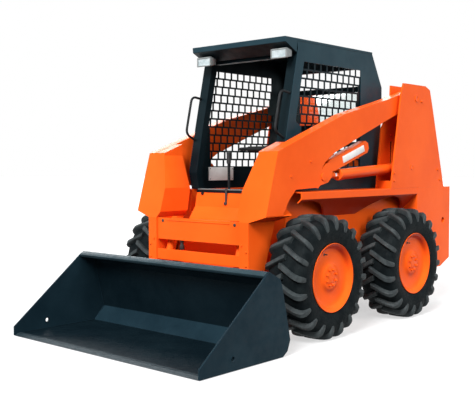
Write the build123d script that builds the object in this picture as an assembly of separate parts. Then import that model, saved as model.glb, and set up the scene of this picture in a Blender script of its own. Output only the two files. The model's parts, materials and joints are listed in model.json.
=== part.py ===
"""Skid steer loader with a radial lift arm and a general purpose bucket.

Millimetres. +X is the machine's left, -Y its front, +Z up. The pieces are laid out
from the middle of the wheelbase at ground level, and moved at the end so that the
origin lies at the bottom centre of the whole machine.
"""

from build123d import *
import math
import os

# ---------------------------------------------------------------- driving dimensions
WHEELBASE = 1080.0
TYRE_RADIUS = 417.5        # to the tips of the lugs, one of which stands on the ground
TYRE_WIDTH = 300.0
TYRE_OUTER_X = 845.0       # outermost sidewall of the left tyres
LUG_HEIGHT = 24.0
LUGS_PER_SIDE = 20
LUG_REACH = 64.0           # how far a lug runs round the tyre, either way from its middle
LUG_TIP_ANGLE = math.asin(LUG_REACH / TYRE_RADIUS)
WHEEL_SIDES = 20           # flat faces round the tyre and the rim
BEAD_RADIUS = 212.0
RIM_FLANGE_RADIUS = 232.0
RIM_DISH = 46.0            # how far the wheel disc sits inside the outer flange
RIM_SHEET = 8.0
AXLE_TUBE_RADIUS = 62.0

CASE_OUTER_X = 500.0       # chain cases either side of the tub
CASE_INNER_X = 350.0
BODY_OUTER_X = 650.0       # fender edge, towers and rear quarters share this plane
DECK_Z = 985.0
BELLY_Z = 205.0
SHEET = 12.0               # tower, fender and frame plate
REAR_Y = 1462.0            # rear face of the tailgate

CAB_HALF_WIDTH = 446.0
CAB_SHEET = 8.0
ROOF_Z = 2051.0
ROOF_FRONT_Y = -578.0
ROOF_REAR_Y = 528.0
ROOF_THICK = 20.0
CAB_TOP_Z = ROOF_Z - ROOF_THICK    # top of the cab's frame, under the roof sheet
POST = 62.0                # depth of the cab posts in side view
POST_WIDTH = 80.0

ARM_OUTER_X = 615.0
ARM_INNER_X = 527.0
ARM_SHEET = 12.0
BOX_REAR_Y = -682.0
LEG_OUTER_X = 478.0
LEG_INNER_X = 398.0
LEG_FRONT_Y = -1000.0

PIVOT = (870.0, 1700.0)    # lift arm pivot, Y and Z
LIFT_BASE = (800.0, 1150.0)  # lift cylinder's pin in the tower
LIFT_EYE = (-360.0, 1085.0)  # lift cylinder's pin in the arm
TILT_BASE = (-868.0, 760.0)  # tilt cylinder's pin in the leg
TILT_EYE = (-999.5, 287.2)   # tilt cylinder's pin in the coupler
TOE = (-955.0, 165.0)      # coupler hinge at the foot of the legs
PIN_RADIUS = 20.0
PIVOT_PIN_RADIUS = 30.0
PIN_SOCKET = 15.0          # depth of the blind hole in the leg for the tilt pin
FIT = 0.05                 # radial running clearance at pins
SIDE_GAP = 6.0             # beside bosses and eyes that turn
SEAT = 0.3                 # between pieces that are only placed against each other

LIFT_X = 571.0             # centre plane of the left lift cylinder
LIFT_BARREL_RADIUS = 40.0
LIFT_ROD_RADIUS = 20.0
LIFT_NOSE = 232.0          # from the rod's eye to the barrel's nose, as it stands
LIFT_STROKE = 599.0        # how far the rod runs out from there
TILT_X = 334.0
TILT_BARREL_RADIUS = 28.0
TILT_ROD_RADIUS = 15.0
TILT_NOSE = 150.0
TILT_STROKE = 213.0
ROD_HOLD = 28.0            # length of rod left in the barrel when it is run out
EAR_GAP = 26.0             # from the tilt cylinder's centre plane to the coupler's ears

BUCKET_HALF_WIDTH = 887.5
BUCKET_EDGE_Y = -1876.0
BUCKET_SIDE = 12.0

Y_ORIGIN = (BUCKET_EDGE_Y + REAR_Y) / 2


# ---------------------------------------------------------------- helpers
def side_plate(outline, x_low, x_high):
    """A plate cut to an outline of (Y, Z) points, between two X planes."""
    face = make_face(Polyline(*[(0, y, z) for y, z in outline], close=True))
    return extrude(face, amount=x_high - x_low, dir=(1, 0, 0)).moved(Location((x_low, 0, 0)))


def front_plate(outline, y_low, y_high):
    """A plate cut to an outline of (X, Z) points, between two Y planes."""
    face = make_face(Polyline(*[(x, 0, z) for x, z in outline], close=True))
    return extrude(face, amount=y_high - y_low, dir=(0, 1, 0)).moved(Location((0, y_low, 0)))


def block(x, y, z):
    """A box from its (low, high) limits along each axis."""
    size = [high - low for low, high in (x, y, z)]
    centre = [(high + low) / 2 for low, high in (x, y, z)]
    return Pos(*centre) * Box(*size)


def pin(centre, radius, x_low, x_high):
    """A round bar along X at a (Y, Z) place."""
    turned = Plane(origin=(x_low, centre[0], centre[1]), z_dir=(1, 0, 0))
    return extrude(turned * Circle(radius), amount=x_high - x_low)


def bar(start, end, radius, sides=12):
    """A bar with many flat sides between two points."""
    axis = Vector(*end) - Vector(*start)
    section = Plane(origin=start, z_dir=axis) * RegularPolygon(radius, sides)
    return extrude(section, amount=axis.length)


def cross_bar(centre, radius, x_low, x_high):
    """A bar with many flat sides along X at a (Y, Z) place."""
    return bar((x_low, *centre), (x_high, *centre), radius)


def bent_tube(points, radius, bend, sides=8):
    """A tube along a route of (X, Y, Z) points, each corner eased over two cuts."""
    corners = [Vector(*point) for point in points]
    route = [corners[0]]
    for before, corner, after in zip(corners, corners[1:], corners[2:]):
        start = corner + (before - corner).normalized() * bend
        end = corner + (after - corner).normalized() * bend
        middle = corner + ((start + end) * 0.5 - corner) * 0.586
        route += [start, middle, end]
    route.append(corners[-1])
    path = Polyline(*route)
    section = Plane(origin=path @ 0, z_dir=path % 0) * RegularPolygon(radius, sides)
    return sweep(section, path=path, transition=Transition.RIGHT)


def faceted_ring(section, sides):
    """A ring about X in flat faces set under the lugs, from a closed (X, radius) section."""
    def at(point, i):
        angle = (i + 0.5) * 2 * math.pi / sides + LUG_TIP_ANGLE
        return (point[0], point[1] * math.sin(angle), -point[1] * math.cos(angle))

    faces = []
    for i in range(sides):
        for a, b in zip(section, section[1:] + section[:1]):
            corners = [at(a, i), at(b, i)] if b[1] else [at(a, i), (b[0], 0, 0)]
            if b[1]:
                corners.append(at(b, i + 1))
            if a[1]:
                corners.append(at(a, i + 1))
            if a[1] or b[1]:
                faces.append(make_face(Polyline(*corners, close=True)))
    return Solid(Shell(faces))


def mirrored(shape):
    return mirror(shape, about=Plane.YZ)


def pair(shape):
    """The shape and its mirror image on the other side of the machine."""
    return Compound([*shape.solids(), *mirrored(shape).solids()])


def along(start, end, distance):
    """The point at a distance from start towards end, in the (Y, Z) plane."""
    run = math.dist(start, end)
    return tuple(a + (b - a) * distance / run for a, b in zip(start, end))


def strip(line, depth):
    """An outline that follows a line of (Y, Z) points, a depth of Y behind it."""
    return [*line, *[(y + depth, z) for y, z in reversed(line)]]


parts = {}

# ---------------------------------------------------------------- wheels
WHEELS = [  # name, side of the machine, Y of the axle
    ("front_left", 1, -WHEELBASE / 2),
    ("front_right", -1, -WHEELBASE / 2),
    ("rear_left", 1, WHEELBASE / 2),
    ("rear_right", -1, WHEELBASE / 2),
]
TYRE_X = TYRE_OUTER_X - TYRE_WIDTH / 2
CARCASS_RADIUS = TYRE_RADIUS - LUG_HEIGHT
RIM_OUTER = TYRE_WIDTH / 2 - 12        # outer flange, from the wheel's middle plane
DISC_BACK = RIM_OUTER - RIM_DISH - RIM_SHEET
HUB_X = TYRE_X + DISC_BACK             # inner face of the wheel disc


def tyre():
    """Carcass about the X axis with two rows of slanted lugs that overlap at the crown."""
    half = TYRE_WIDTH / 2
    shoulder = half - 22
    section = [  # distance from the tyre's middle plane, radius
        (-half + 34, BEAD_RADIUS),
        (-half, BEAD_RADIUS + 100),
        (-shoulder, CARCASS_RADIUS - 12),
        (shoulder, CARCASS_RADIUS - 12),
        (half, BEAD_RADIUS + 100),
        (half - 34, BEAD_RADIUS),
    ]
    carcass = faceted_ring(section, WHEEL_SIDES)
    lug_top = math.sqrt(TYRE_RADIUS ** 2 - LUG_REACH ** 2)   # its flat top, under its tips
    lug_side = [  # seen along the tread: from the crown out to the shoulder and down it
        (-16, CARCASS_RADIUS - 30),
        (-16, lug_top),
        (shoulder - 4, lug_top),
        (half - 2, CARCASS_RADIUS - 48),
    ]
    lug_plan = [  # seen from outside: across the tread, round it
        (-20, LUG_REACH - 40),
        (-20, LUG_REACH),
        (half + 5, -LUG_REACH + 44),
        (half + 5, -LUG_REACH),
    ]
    lug = front_plate(lug_side, -100, 100)
    plan = make_face(Polyline(*[(x, y, 0) for x, y in lug_plan], close=True))
    lug &= extrude(plan, amount=2 * TYRE_RADIUS)
    pitch = 360 / LUGS_PER_SIDE
    lugs = []
    for i in range(LUGS_PER_SIDE):
        turn = 180 + math.degrees(LUG_TIP_ANGLE) + i * pitch
        lugs.append(Rot(turn, 0, 0) * lug)
        lugs.append(Rot(turn + pitch / 2, 0, 0) * mirror(lug, about=Plane.YZ))
    return carcass.fuse(*lugs)


def rim():
    """Welded steel wheel about the X axis, its outer side towards +X."""
    well = BEAD_RADIUS - SEAT
    section = [  # distance from the tyre's middle plane, radius
        (DISC_BACK, 0),
        (DISC_BACK, well - RIM_SHEET),
        (-RIM_OUTER, RIM_FLANGE_RADIUS),
        (-RIM_OUTER + 14, well),
        (RIM_OUTER - 14, well),
        (RIM_OUTER, RIM_FLANGE_RADIUS),
        (RIM_OUTER - RIM_DISH + 8, well - RIM_SHEET),
        (RIM_OUTER - RIM_DISH, 78),
        (RIM_OUTER - 22, 62),
        (RIM_OUTER - 22, 0),
    ]
    return faceted_ring(section, WHEEL_SIDES)


tyre_shape = tyre()
rim_shape = rim()
for name, side, axle_y in WHEELS:
    place = Pos(side * TYRE_X, axle_y, TYRE_RADIUS)
    for kind, shape in (("tyre", tyre_shape), ("rim", rim_shape)):
        if side > 0:
            parts[f"{kind}_{name}"] = place * shape
        else:
            parts[f"{kind}_{name}"] = place * mirrored(shape)

# ---------------------------------------------------------------- chassis
TUB_LINE = [  # front of the tub from the belly to the sill, Y and Z
    (-700, BELLY_Z),
    (-800, 330),
    (-800, 640),
    (-700, 790),
    (-650, 860),
    (-628, 965),
]
TUB_REAR_Y = REAR_Y - 82
tub_outer = [*TUB_LINE, (TUB_REAR_Y, 965), (TUB_REAR_Y, BELLY_Z)]
TUB_SHEET = 12.0
tub = side_plate(tub_outer, -CASE_INNER_X, CASE_INNER_X)
footwell = [
    (-690, BELLY_Z + TUB_SHEET),
    (-786, 336),
    (-786, 636),
    (-688, 782),
    (-637, 856),
    (-612, 980),
    (-60, 980),
    (-60, BELLY_Z + TUB_SHEET),
]
engine_bay = [(0, BELLY_Z + TUB_SHEET), (0, 980), (TUB_REAR_Y + 20, 980),
              (TUB_REAR_Y + 20, BELLY_Z + TUB_SHEET)]
inner = CASE_INNER_X - TUB_SHEET
tub -= side_plate(footwell, -inner, inner)
tub -= side_plate(engine_bay, -inner, inner)
WALL_FRONT_Y = 700.0       # engine bay's side walls
WALL_REAR_Y = REAR_Y - 42
WALL_FRONT_Z = 1225.0
WALL_REAR_Z = 1150.0
WALL_SLOPE = (WALL_REAR_Z - WALL_FRONT_Z) / (WALL_REAR_Y - WALL_FRONT_Y)
HOOD_HALF = 495.0
DOOR_HALF = 478.0
DOOR_FRONT_Y = WALL_REAR_Y + 6
DOOR_HINGE_X = 488.0       # on the right side
DOOR_HINGE_Y = REAR_Y - 9
QUARTER_REAR_Y = REAR_Y - 12
DOOR_HINGES = (540.0, 920.0)
HINGE_RADIUS = 9.0
HINGE_LENGTH = 40.0
case_outline = [
    (-660, 240),
    (-700, 450),
    (-640, 800),
    (-610, 965),
    (-610, DECK_Z),
    (890, DECK_Z),
    (890, 300),
    (830, 240),
]
case = side_plate(case_outline, CASE_INNER_X, CASE_OUTER_X)
case -= block((CAB_HALF_WIDTH - 26, CASE_OUTER_X - SHEET), (-560, 830), (800, DECK_Z - 10))
case -= block((CASE_INNER_X - 1, CAB_HALF_WIDTH - 26), (-640, 900), (820, DECK_Z + 1))
QUARTER = [  # rear quarter beside the engine bay
    (890, DECK_Z),
    (890, 800),
    (1035, 600),
    (1035, 310),
    (1291, 310),
    (QUARTER_REAR_Y, 375),
    (QUARTER_REAR_Y, DECK_Z),
]
quarter = side_plate(QUARTER, CASE_INNER_X, BODY_OUTER_X)
quarter -= block((CASE_INNER_X - 1, CASE_OUTER_X - SHEET), (890, REAR_Y), (430, DECK_Z + 1))
quarter -= pin((1330, 700), 25, CASE_OUTER_X - 20, BODY_OUTER_X + 1)
wall = [(WALL_FRONT_Y, DECK_Z), (WALL_REAR_Y, DECK_Z), (WALL_REAR_Y, WALL_REAR_Z),
        (WALL_FRONT_Y, WALL_FRONT_Z)]
bay_wall = side_plate(wall, CASE_OUTER_X - SHEET, CASE_OUTER_X)
side = case + quarter + bay_wall
chassis = tub + side + mirrored(side)
bulkhead_x = CASE_OUTER_X - SHEET
chassis += block((-bulkhead_x, bulkhead_x), (WALL_FRONT_Y, WALL_FRONT_Y + SHEET),
                 (DECK_Z - 10, WALL_FRONT_Z - 8))
for z in DOOR_HINGES:
    half = HINGE_LENGTH / 2
    relief = (HINGE_RADIUS + 1, z - half - SEAT, z + half + SEAT)
    chassis -= block((-DOOR_HINGE_X - relief[0], -DOOR_HINGE_X + relief[0]),
                     (DOOR_HINGE_Y - relief[0], DOOR_HINGE_Y + relief[0]), relief[1:])
    for low, high in ((relief[1] - HINGE_LENGTH, relief[1]), (relief[2], relief[2] + HINGE_LENGTH)):
        chassis += block((-DOOR_HINGE_X - HINGE_RADIUS, -DOOR_HINGE_X),
                         (QUARTER_REAR_Y - 10, DOOR_HINGE_Y), (low, high))
        chassis += bar((-DOOR_HINGE_X, DOOR_HINGE_Y, low), (-DOOR_HINGE_X, DOOR_HINGE_Y, high),
                       HINGE_RADIUS, 8)
chassis += block((-CASE_OUTER_X, CASE_OUTER_X), (REAR_Y - 70, REAR_Y), (310, 424))
parts["chassis"] = chassis

tubes = [
    cross_bar((axle_y, TYRE_RADIUS), AXLE_TUBE_RADIUS, CASE_OUTER_X, HUB_X - SEAT)
    for axle_y in (-WHEELBASE / 2, WHEELBASE / 2)
]
parts["axle_tubes"] = pair(Compound(tubes))

# fenders: deck, edge flange and the sloping haunch between the wheels
FENDER_FRONT_Y = -655.0
FENDER_REAR_Y = 890.0
FLANGE = 50.0
HAUNCH_Z = 797.0
ARCH_RADIUS = 505.0
fender_section = [
    (CASE_OUTER_X, DECK_Z),
    (BODY_OUTER_X, DECK_Z),
    (BODY_OUTER_X, DECK_Z - FLANGE),
    (CASE_OUTER_X, HAUNCH_Z),
    (CASE_OUTER_X, HAUNCH_Z + 16),
    (BODY_OUTER_X - 9, DECK_Z - FLANGE + 8),
    (BODY_OUTER_X - 9, DECK_Z - 8),
    (CASE_OUTER_X, DECK_Z - 8),
]
fender = front_plate(fender_section, FENDER_FRONT_Y, FENDER_REAR_Y)
for axle_y in (-WHEELBASE / 2, WHEELBASE / 2):
    fender -= pin((axle_y, TYRE_RADIUS), ARCH_RADIUS, CASE_OUTER_X - 1, BODY_OUTER_X + 1)
parts["fenders"] = pair(fender)

# towers: two plates each side with the lift arm and its cylinder between them
TOWER_INNER_X = 513.0
tower_outline = [
    (483, DECK_Z),
    (571, 1442),
    (630, 1734),
    (660, 1808),
    (1010, 1808),
    (1084, 1780),
    (1132, 1640),
    (1336, DECK_Z),
]
inner_outline = [
    (493, DECK_Z),
    (562, 1454),
    (640, 1560),
    (690, 1690),
    (697, 1800),
    (1010, 1800),
    (1084, 1772),
    (1128, 1640),
    (1328, DECK_Z),
]
outer_plate = side_plate(tower_outline, BODY_OUTER_X - SHEET, BODY_OUTER_X)
inner_plate = side_plate(inner_outline, TOWER_INNER_X - SHEET, TOWER_INNER_X)
inner_plate -= block((TOWER_INNER_X - 20, TOWER_INNER_X + 1), (694, 724), (1175, 1355))
back = [(1328, DECK_Z), (1124, 1640), (1076, 1776), (1010, 1796), (1010, 1784), (1068, 1768),
        (1112, 1640), (1316, DECK_Z)]
back_plate = side_plate(back, TOWER_INNER_X, BODY_OUTER_X - SHEET)
tower = outer_plate + inner_plate + back_plate
tower += block((TOWER_INNER_X, BODY_OUTER_X - SHEET), (500, 560), (DECK_Z, DECK_Z + 60))
tower += pin(PIVOT, PIVOT_PIN_RADIUS, TOWER_INNER_X - SHEET, BODY_OUTER_X)
tower += pin(LIFT_BASE, PIN_RADIUS, TOWER_INNER_X - SHEET, BODY_OUTER_X)
parts["towers"] = pair(tower)

parts["engine_block"] = block((-240, 240), (640, 1240), (BELLY_Z + TUB_SHEET, 900))

# ---------------------------------------------------------------- lift arms
BOSS = 78.0
ARM_BROW = (-863.0, 1257.0)   # top and foot of the arm's leaning front face, Y and Z
ARM_FOOT = (-985.0, 836.0)
arm_profile = [  # side view of the beam and of the plate that drops to the legs
    ARM_BROW,
    (-628, 1343),
    (-100, 1532),
    (485, 1671),
    (PIVOT[0] - 40, PIVOT[1] + 66),
    (PIVOT[0] + 40, PIVOT[1] + 66),
    (PIVOT[0] + BOSS, PIVOT[1]),
    (PIVOT[0] + 40, PIVOT[1] - 66),
    (PIVOT[0] - 20, PIVOT[1] - 75),
    (626, 1565),
    (168, 1401),
    (-219, 1257),
    (-341, 1186),
    (-388, 1131),
    (-430, 1012),
    (-672, 1003),
    (-745, 935),
    (-812, ARM_FOOT[1]),
    ARM_FOOT,
]
beam = side_plate(arm_profile, ARM_INNER_X, ARM_OUTER_X)
LEG_TOP_Z = 790.0
box_front = [  # front view of the box that joins beam and leg
    (ARM_INNER_X, 1400),
    (451, 1400),
    (451, 1238),
    (371, 1000),
    (371, 832),
    (LEG_INNER_X, LEG_TOP_Z),
    (LEG_OUTER_X, LEG_TOP_Z),
    (ARM_OUTER_X, 832),
    (ARM_INNER_X, 900),
]
box_side = [
    ARM_BROW,
    (BOX_REAR_Y, 1323),
    (BOX_REAR_Y, 990),
    (-720, LEG_TOP_Z),
    (LEG_FRONT_Y, LEG_TOP_Z),
    ARM_FOOT,
]
box = front_plate(box_front, LEG_FRONT_Y, BOX_REAR_Y)
box &= side_plate(box_side, 360, ARM_OUTER_X)
leg_profile = [
    (ARM_FOOT[0] + 10, 850),
    (LEG_FRONT_Y, LEG_TOP_Z),
    (LEG_FRONT_Y, 200),
    (TOE[0] - 40, TOE[1] - 20),
    (TOE[0] - 18, TOE[1] - 42),
    (TOE[0] + 18, TOE[1] - 42),
    (TOE[0] + 44, TOE[1] - 12),
    (TOE[0] + 50, TOE[1] + 30),
    (-840, 450),
    (-722, 795),
    (-760, 850),
]
leg = side_plate(leg_profile, LEG_INNER_X, LEG_OUTER_X)
leg -= pin(TOE, PIN_RADIUS + FIT, LEG_INNER_X - 1, LEG_OUTER_X + 1)
leg -= pin(TILT_BASE, PIN_RADIUS + FIT, LEG_INNER_X - 1, LEG_INNER_X + PIN_SOCKET)
ear = [  # carries the rod's eye and the stowed arm support
    (-440, 1010),
    (-423, 1007),
    (-395, 1027),
    (-304, 1045),
    (-256, 1085),
    (-246, 1145),
    (-276, 1180),
    (-322, 1178),
    (-372, 1140),
    (-440, 1180),
]
ears = side_plate(ear, ARM_INNER_X, ARM_INNER_X + ARM_SHEET)
ears += side_plate(ear, ARM_OUTER_X - ARM_SHEET, ARM_OUTER_X)
arm = beam + box + leg
gap = block((ARM_INNER_X + ARM_SHEET, ARM_OUTER_X - ARM_SHEET), (-450, -200), (990, 1190))
arm -= gap & side_plate([(-450, 990), (-450, 1190), (-350, 1190), (-200, 1190), (-200, 990)],
                        ARM_INNER_X, ARM_OUTER_X)
arm += ears
arm += cross_bar(LIFT_EYE, PIN_RADIUS + 8, ARM_OUTER_X, ARM_OUTER_X + 8)
arm += cross_bar(LIFT_EYE, PIN_RADIUS + 8, ARM_INNER_X - 6, ARM_INNER_X)
arm -= pin(PIVOT, PIVOT_PIN_RADIUS + FIT, ARM_INNER_X - 1, ARM_OUTER_X + 1)
parts["arm_left"] = arm
parts["arm_right"] = mirrored(arm)

# folded sheet between the legs, the lugs welded to it that hold the inner ends of the
# tilt pins, and a flat plate lower down
MEMBER_Z = (636.0, LEG_TOP_Z)
MEMBER_SHEET = 14.0
MEMBER_FRONT_Y = LEG_FRONT_Y + 16
member_back = MEMBER_FRONT_Y + MEMBER_SHEET
member = block((-LEG_INNER_X, LEG_INNER_X), (MEMBER_FRONT_Y, member_back), MEMBER_Z)
LUG_GAP = 32.0             # from the tilt cylinder's centre plane to its lug
lug_x = (TILT_X - LUG_GAP - ARM_SHEET, TILT_X - LUG_GAP)
for z_low, z_high in ((MEMBER_Z[0], MEMBER_Z[0] + ARM_SHEET), (MEMBER_Z[1] - ARM_SHEET, MEMBER_Z[1])):
    member += block((-lug_x[0], lug_x[0]), (member_back, member_back + 40), (z_low, z_high))
lug_outline = [
    (member_back, MEMBER_Z[0]),
    (member_back + 40, MEMBER_Z[0]),
    (TILT_BASE[0] + 34, TILT_BASE[1] - 24),
    (TILT_BASE[0] + 34, TILT_BASE[1] + 24),
    (TILT_BASE[0] + 14, MEMBER_Z[1]),
    (member_back, MEMBER_Z[1]),
]
lug_plate = side_plate(lug_outline, *lug_x)
lug_plate -= pin(TILT_BASE, PIN_RADIUS + FIT, lug_x[0] - 1, lug_x[1] + 1)
lower_plate = block((-LEG_INNER_X, LEG_INNER_X), (LEG_FRONT_Y + 10, LEG_FRONT_Y + 20), (492, 568))
parts["cross_member"] = Compound([*member.solids(), *pair(lug_plate).solids(),
                                  *lower_plate.solids()])

# ---------------------------------------------------------------- arm support
support_start = (-293.0, 1144.0)
support_end = (238.0, 1313.0)
support_length = math.dist(support_start, support_end)
support_angle = math.degrees(math.atan2(support_end[1] - support_start[1],
                                        support_end[0] - support_start[0]))
SUPPORT_HALF = 46.0
support_outline = [
    (0, -30),
    (90, -SUPPORT_HALF),
    (support_length - 30, -SUPPORT_HALF),
    (support_length, -20),
    (support_length, 20),
    (support_length - 30, SUPPORT_HALF),
    (60, SUPPORT_HALF),
    (0, 34),
    (-26, 18),
    (-26, -14),
]
support = side_plate(support_outline, LIFT_X - 29, LIFT_X + 29)
channel = [(-60, -60), (700, -60), (700, SUPPORT_HALF - 5), (-60, SUPPORT_HALF - 5)]
support -= side_plate(channel, LIFT_X - 24, LIFT_X + 24)
support = Location((0, *support_start)) * Rot(support_angle, 0, 0) * support
support += cross_bar(support_start, 14, ARM_INNER_X + ARM_SHEET, ARM_OUTER_X - ARM_SHEET)
parts["arm_support"] = support


# ---------------------------------------------------------------- cylinders
def barrel(base, eye, radius, rod_radius, nose, x, own_pin):
    """Tube bored for the rod, with an eye at its base that is bored for a pin or keeps its own."""
    length = math.dist(base, eye)
    eye_radius = PIN_RADIUS + 16
    start = along(base, eye, radius * 0.8)
    end = along(base, eye, length - nose)
    body = bar((x, *start), (x, *end), radius)
    gland = along(base, eye, length - nose - 30)
    body += bar((x, *gland), (x, *end), radius + 3)
    body += cross_bar(base, eye_radius, x - radius + SIDE_GAP, x + radius - SIDE_GAP)
    bore_start = along(base, eye, eye_radius + 10)
    bore_end = along(base, eye, length - nose + 1)
    body -= bar((x, *bore_start), (x, *bore_end), rod_radius + SEAT)
    if own_pin:
        return body + pin(base, PIN_RADIUS, *own_pin)
    return body - pin(base, PIN_RADIUS + FIT, x - 2 * radius, x + 2 * radius)


def rod(base, eye, radius, nose, stroke, x, eye_half, ear_half):
    """Rod from inside the barrel to the eye, with the pin that reaches its two ears."""
    length = math.dist(base, eye)
    start = along(base, eye, length - nose - stroke - ROD_HOLD)
    body = bar((x, *start), (x, *eye), radius)
    body += cross_bar(eye, PIN_RADIUS + 14, x - eye_half, x + eye_half)
    return body + cross_bar(eye, PIN_RADIUS, x - ear_half + SEAT, x + ear_half - SEAT)


tilt_pin = (lug_x[0] - 6, LEG_INNER_X + PIN_SOCKET - 1)
CYLINDERS = [
    # name, base pin, rod eye, barrel and rod radius, nose, stroke, X, half width of the eye
    # and of the gap between the rod's ears, ends of the pin that the barrel keeps
    ("lift", LIFT_BASE, LIFT_EYE, LIFT_BARREL_RADIUS, LIFT_ROD_RADIUS, LIFT_NOSE, LIFT_STROKE,
     LIFT_X, 24, 32, None),
    ("tilt", TILT_BASE, TILT_EYE, TILT_BARREL_RADIUS, TILT_ROD_RADIUS, TILT_NOSE, TILT_STROKE,
     TILT_X, 18, EAR_GAP, tilt_pin),
]
for (name, base, eye, barrel_radius, rod_radius, nose, stroke, x, eye_half, ear_half,
     own_pin) in CYLINDERS:
    tube = barrel(base, eye, barrel_radius, rod_radius, nose, x, own_pin)
    stem = rod(base, eye, rod_radius, nose, stroke, x, eye_half, ear_half)
    for side_name, turn in (("left", lambda s: s), ("right", mirrored)):
        parts[f"{name}_barrel_{side_name}"] = turn(tube)
        parts[f"{name}_rod_{side_name}"] = turn(stem)

# ---------------------------------------------------------------- coupler and bucket
BACK_LINE = [  # outer face of the bucket's back, from the heel up
    (-1150, 0),
    (-1105, 30),
    (-1079, 100),
    (-1156, 429),
    (-1176, 482),
    (-1279, 535),
]
COUPLER_PLATE = 18.0
BACK_SLOPE = (BACK_LINE[3][0] - BACK_LINE[2][0]) / (BACK_LINE[3][1] - BACK_LINE[2][1])


def back_y(z):
    """Y of the bucket's flat back at a height, carried on above and below it."""
    return BACK_LINE[2][0] + BACK_SLOPE * (z - BACK_LINE[2][1])


def coupler_sheet(low, high, x_low, x_high):
    """A stretch of the coupler's plate, parallel to the bucket's back and just behind it."""
    front = [(back_y(z) + SEAT, z) for z in (low, high)]
    return side_plate(strip(front, COUPLER_PLATE), x_low, x_high)


COUPLER_LOW = 115.0
COUPLER_SIDE_TOP = 408.0
COUPLER_NOTCH = 250.0
COUPLER_TOP = 426.0
HOOK_TOP = 500.0
EAR = 12.0
ear_in = (TILT_X - EAR_GAP - EAR, TILT_X - EAR_GAP)
ear_out = (TILT_X + EAR_GAP, TILT_X + EAR_GAP + EAR)
toe_out = (LEG_OUTER_X + SIDE_GAP, LEG_OUTER_X + SIDE_GAP + 14)
toe_in = (LEG_INNER_X - SIDE_GAP - 14, LEG_INNER_X - SIDE_GAP)
coupler = coupler_sheet(COUPLER_LOW, COUPLER_NOTCH, -toe_out[1], toe_out[1])
coupler += coupler_sheet(COUPLER_NOTCH, COUPLER_TOP, -ear_in[1], ear_in[1])
hook = side_plate(
    [(back_y(COUPLER_TOP) + SEAT + 4, COUPLER_TOP), (-1170, 482), (-1178, HOOK_TOP),
     (-1160, HOOK_TOP), (back_y(COUPLER_TOP) + COUPLER_PLATE + SEAT, COUPLER_TOP)],
    -ear_in[0] + 6, ear_in[0] - 6)
coupler += hook
for turn in (lambda s: s, mirrored):
    coupler += turn(coupler_sheet(COUPLER_NOTCH, COUPLER_SIDE_TOP, ear_out[0], toe_out[1]))
    toe_ear = [(-1068, 120), (TOE[0] - 10, TOE[1] - 36), (TOE[0] + 26, TOE[1] - 26),
               (TOE[0] + 36, TOE[1]), (TOE[0] + 20, TOE[1] + 30), (-1100, 330), (-1112, 330)]
    for low, high in (toe_in, toe_out):
        coupler += turn(side_plate(toe_ear, low, high))
    coupler += turn(pin(TOE, PIN_RADIUS, toe_in[0], toe_out[1]))
    eye_ear = [(-1068, 180), (TILT_EYE[0] + 20, TILT_EYE[1] - 34),
               (TILT_EYE[0] + 36, TILT_EYE[1]), (TILT_EYE[0] + 16, TILT_EYE[1] + 34),
               (-1134, 426), (-1140, 400), (-1100, 250)]
    for low, high in (ear_in, ear_out):
        coupler += turn(side_plate(eye_ear, low, high))
parts["coupler"] = coupler

lever_y = COUPLER_PLATE + 2 * SEAT + 12 / math.cos(math.atan(BACK_SLOPE))
LEVER_X = -118.0
LEVER_BEND_Z = 395.0
lever_foot = (LEVER_X, back_y(300) + lever_y, 300)
lever_bend = (LEVER_X, back_y(LEVER_BEND_Z) + lever_y, LEVER_BEND_Z)
lever_arm = bar(lever_foot, (LEVER_X, back_y(400) + lever_y, 400), 12, 8)
lever_arm += bar(lever_bend, (LEVER_X, -1111, 430), 10, 8)
parts["coupler_lever"] = lever_arm

side_outline = [
    (BUCKET_EDGE_Y, 4),
    (BUCKET_EDGE_Y, 64),
    (-1306, 520),
    (-1279, 535),
    (-1176, 482),
    (-1156, 429),
    (-1079, 100),
    (-1105, 34),
    (-1150, 4),
]
shell_outline = [  # closed section of the floor, heel, back and top lip
    (BUCKET_EDGE_Y + 60, 4),
    (-1150, 4),
    (-1105, 34),
    (-1079, 100),
    (-1156, 429),
    (-1176, 482),
    (-1279, 535),
    (-1318, 500),
    (-1286, 508),
    (-1186, 468),
    (-1168, 426),
    (-1092, 108),
    (-1190, 14),
    (BUCKET_EDGE_Y + 60, 14),
]
inner_half = BUCKET_HALF_WIDTH - BUCKET_SIDE
bucket = side_plate(shell_outline, -inner_half, inner_half)
cheek = side_plate(side_outline, inner_half, BUCKET_HALF_WIDTH)
cheek -= pin((-1607, 74), 15, inner_half - 1, BUCKET_HALF_WIDTH + 1)
bucket += cheek
bucket += mirrored(cheek)
parts["bucket"] = bucket
edge_outline = [
    (BUCKET_EDGE_Y, 4),
    (BUCKET_EDGE_Y + 60, 4),
    (BUCKET_EDGE_Y + 60, 18),
    (BUCKET_EDGE_Y + 28, 18),
]
parts["cutting_edge"] = side_plate(edge_outline, -inner_half, inner_half)

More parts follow.
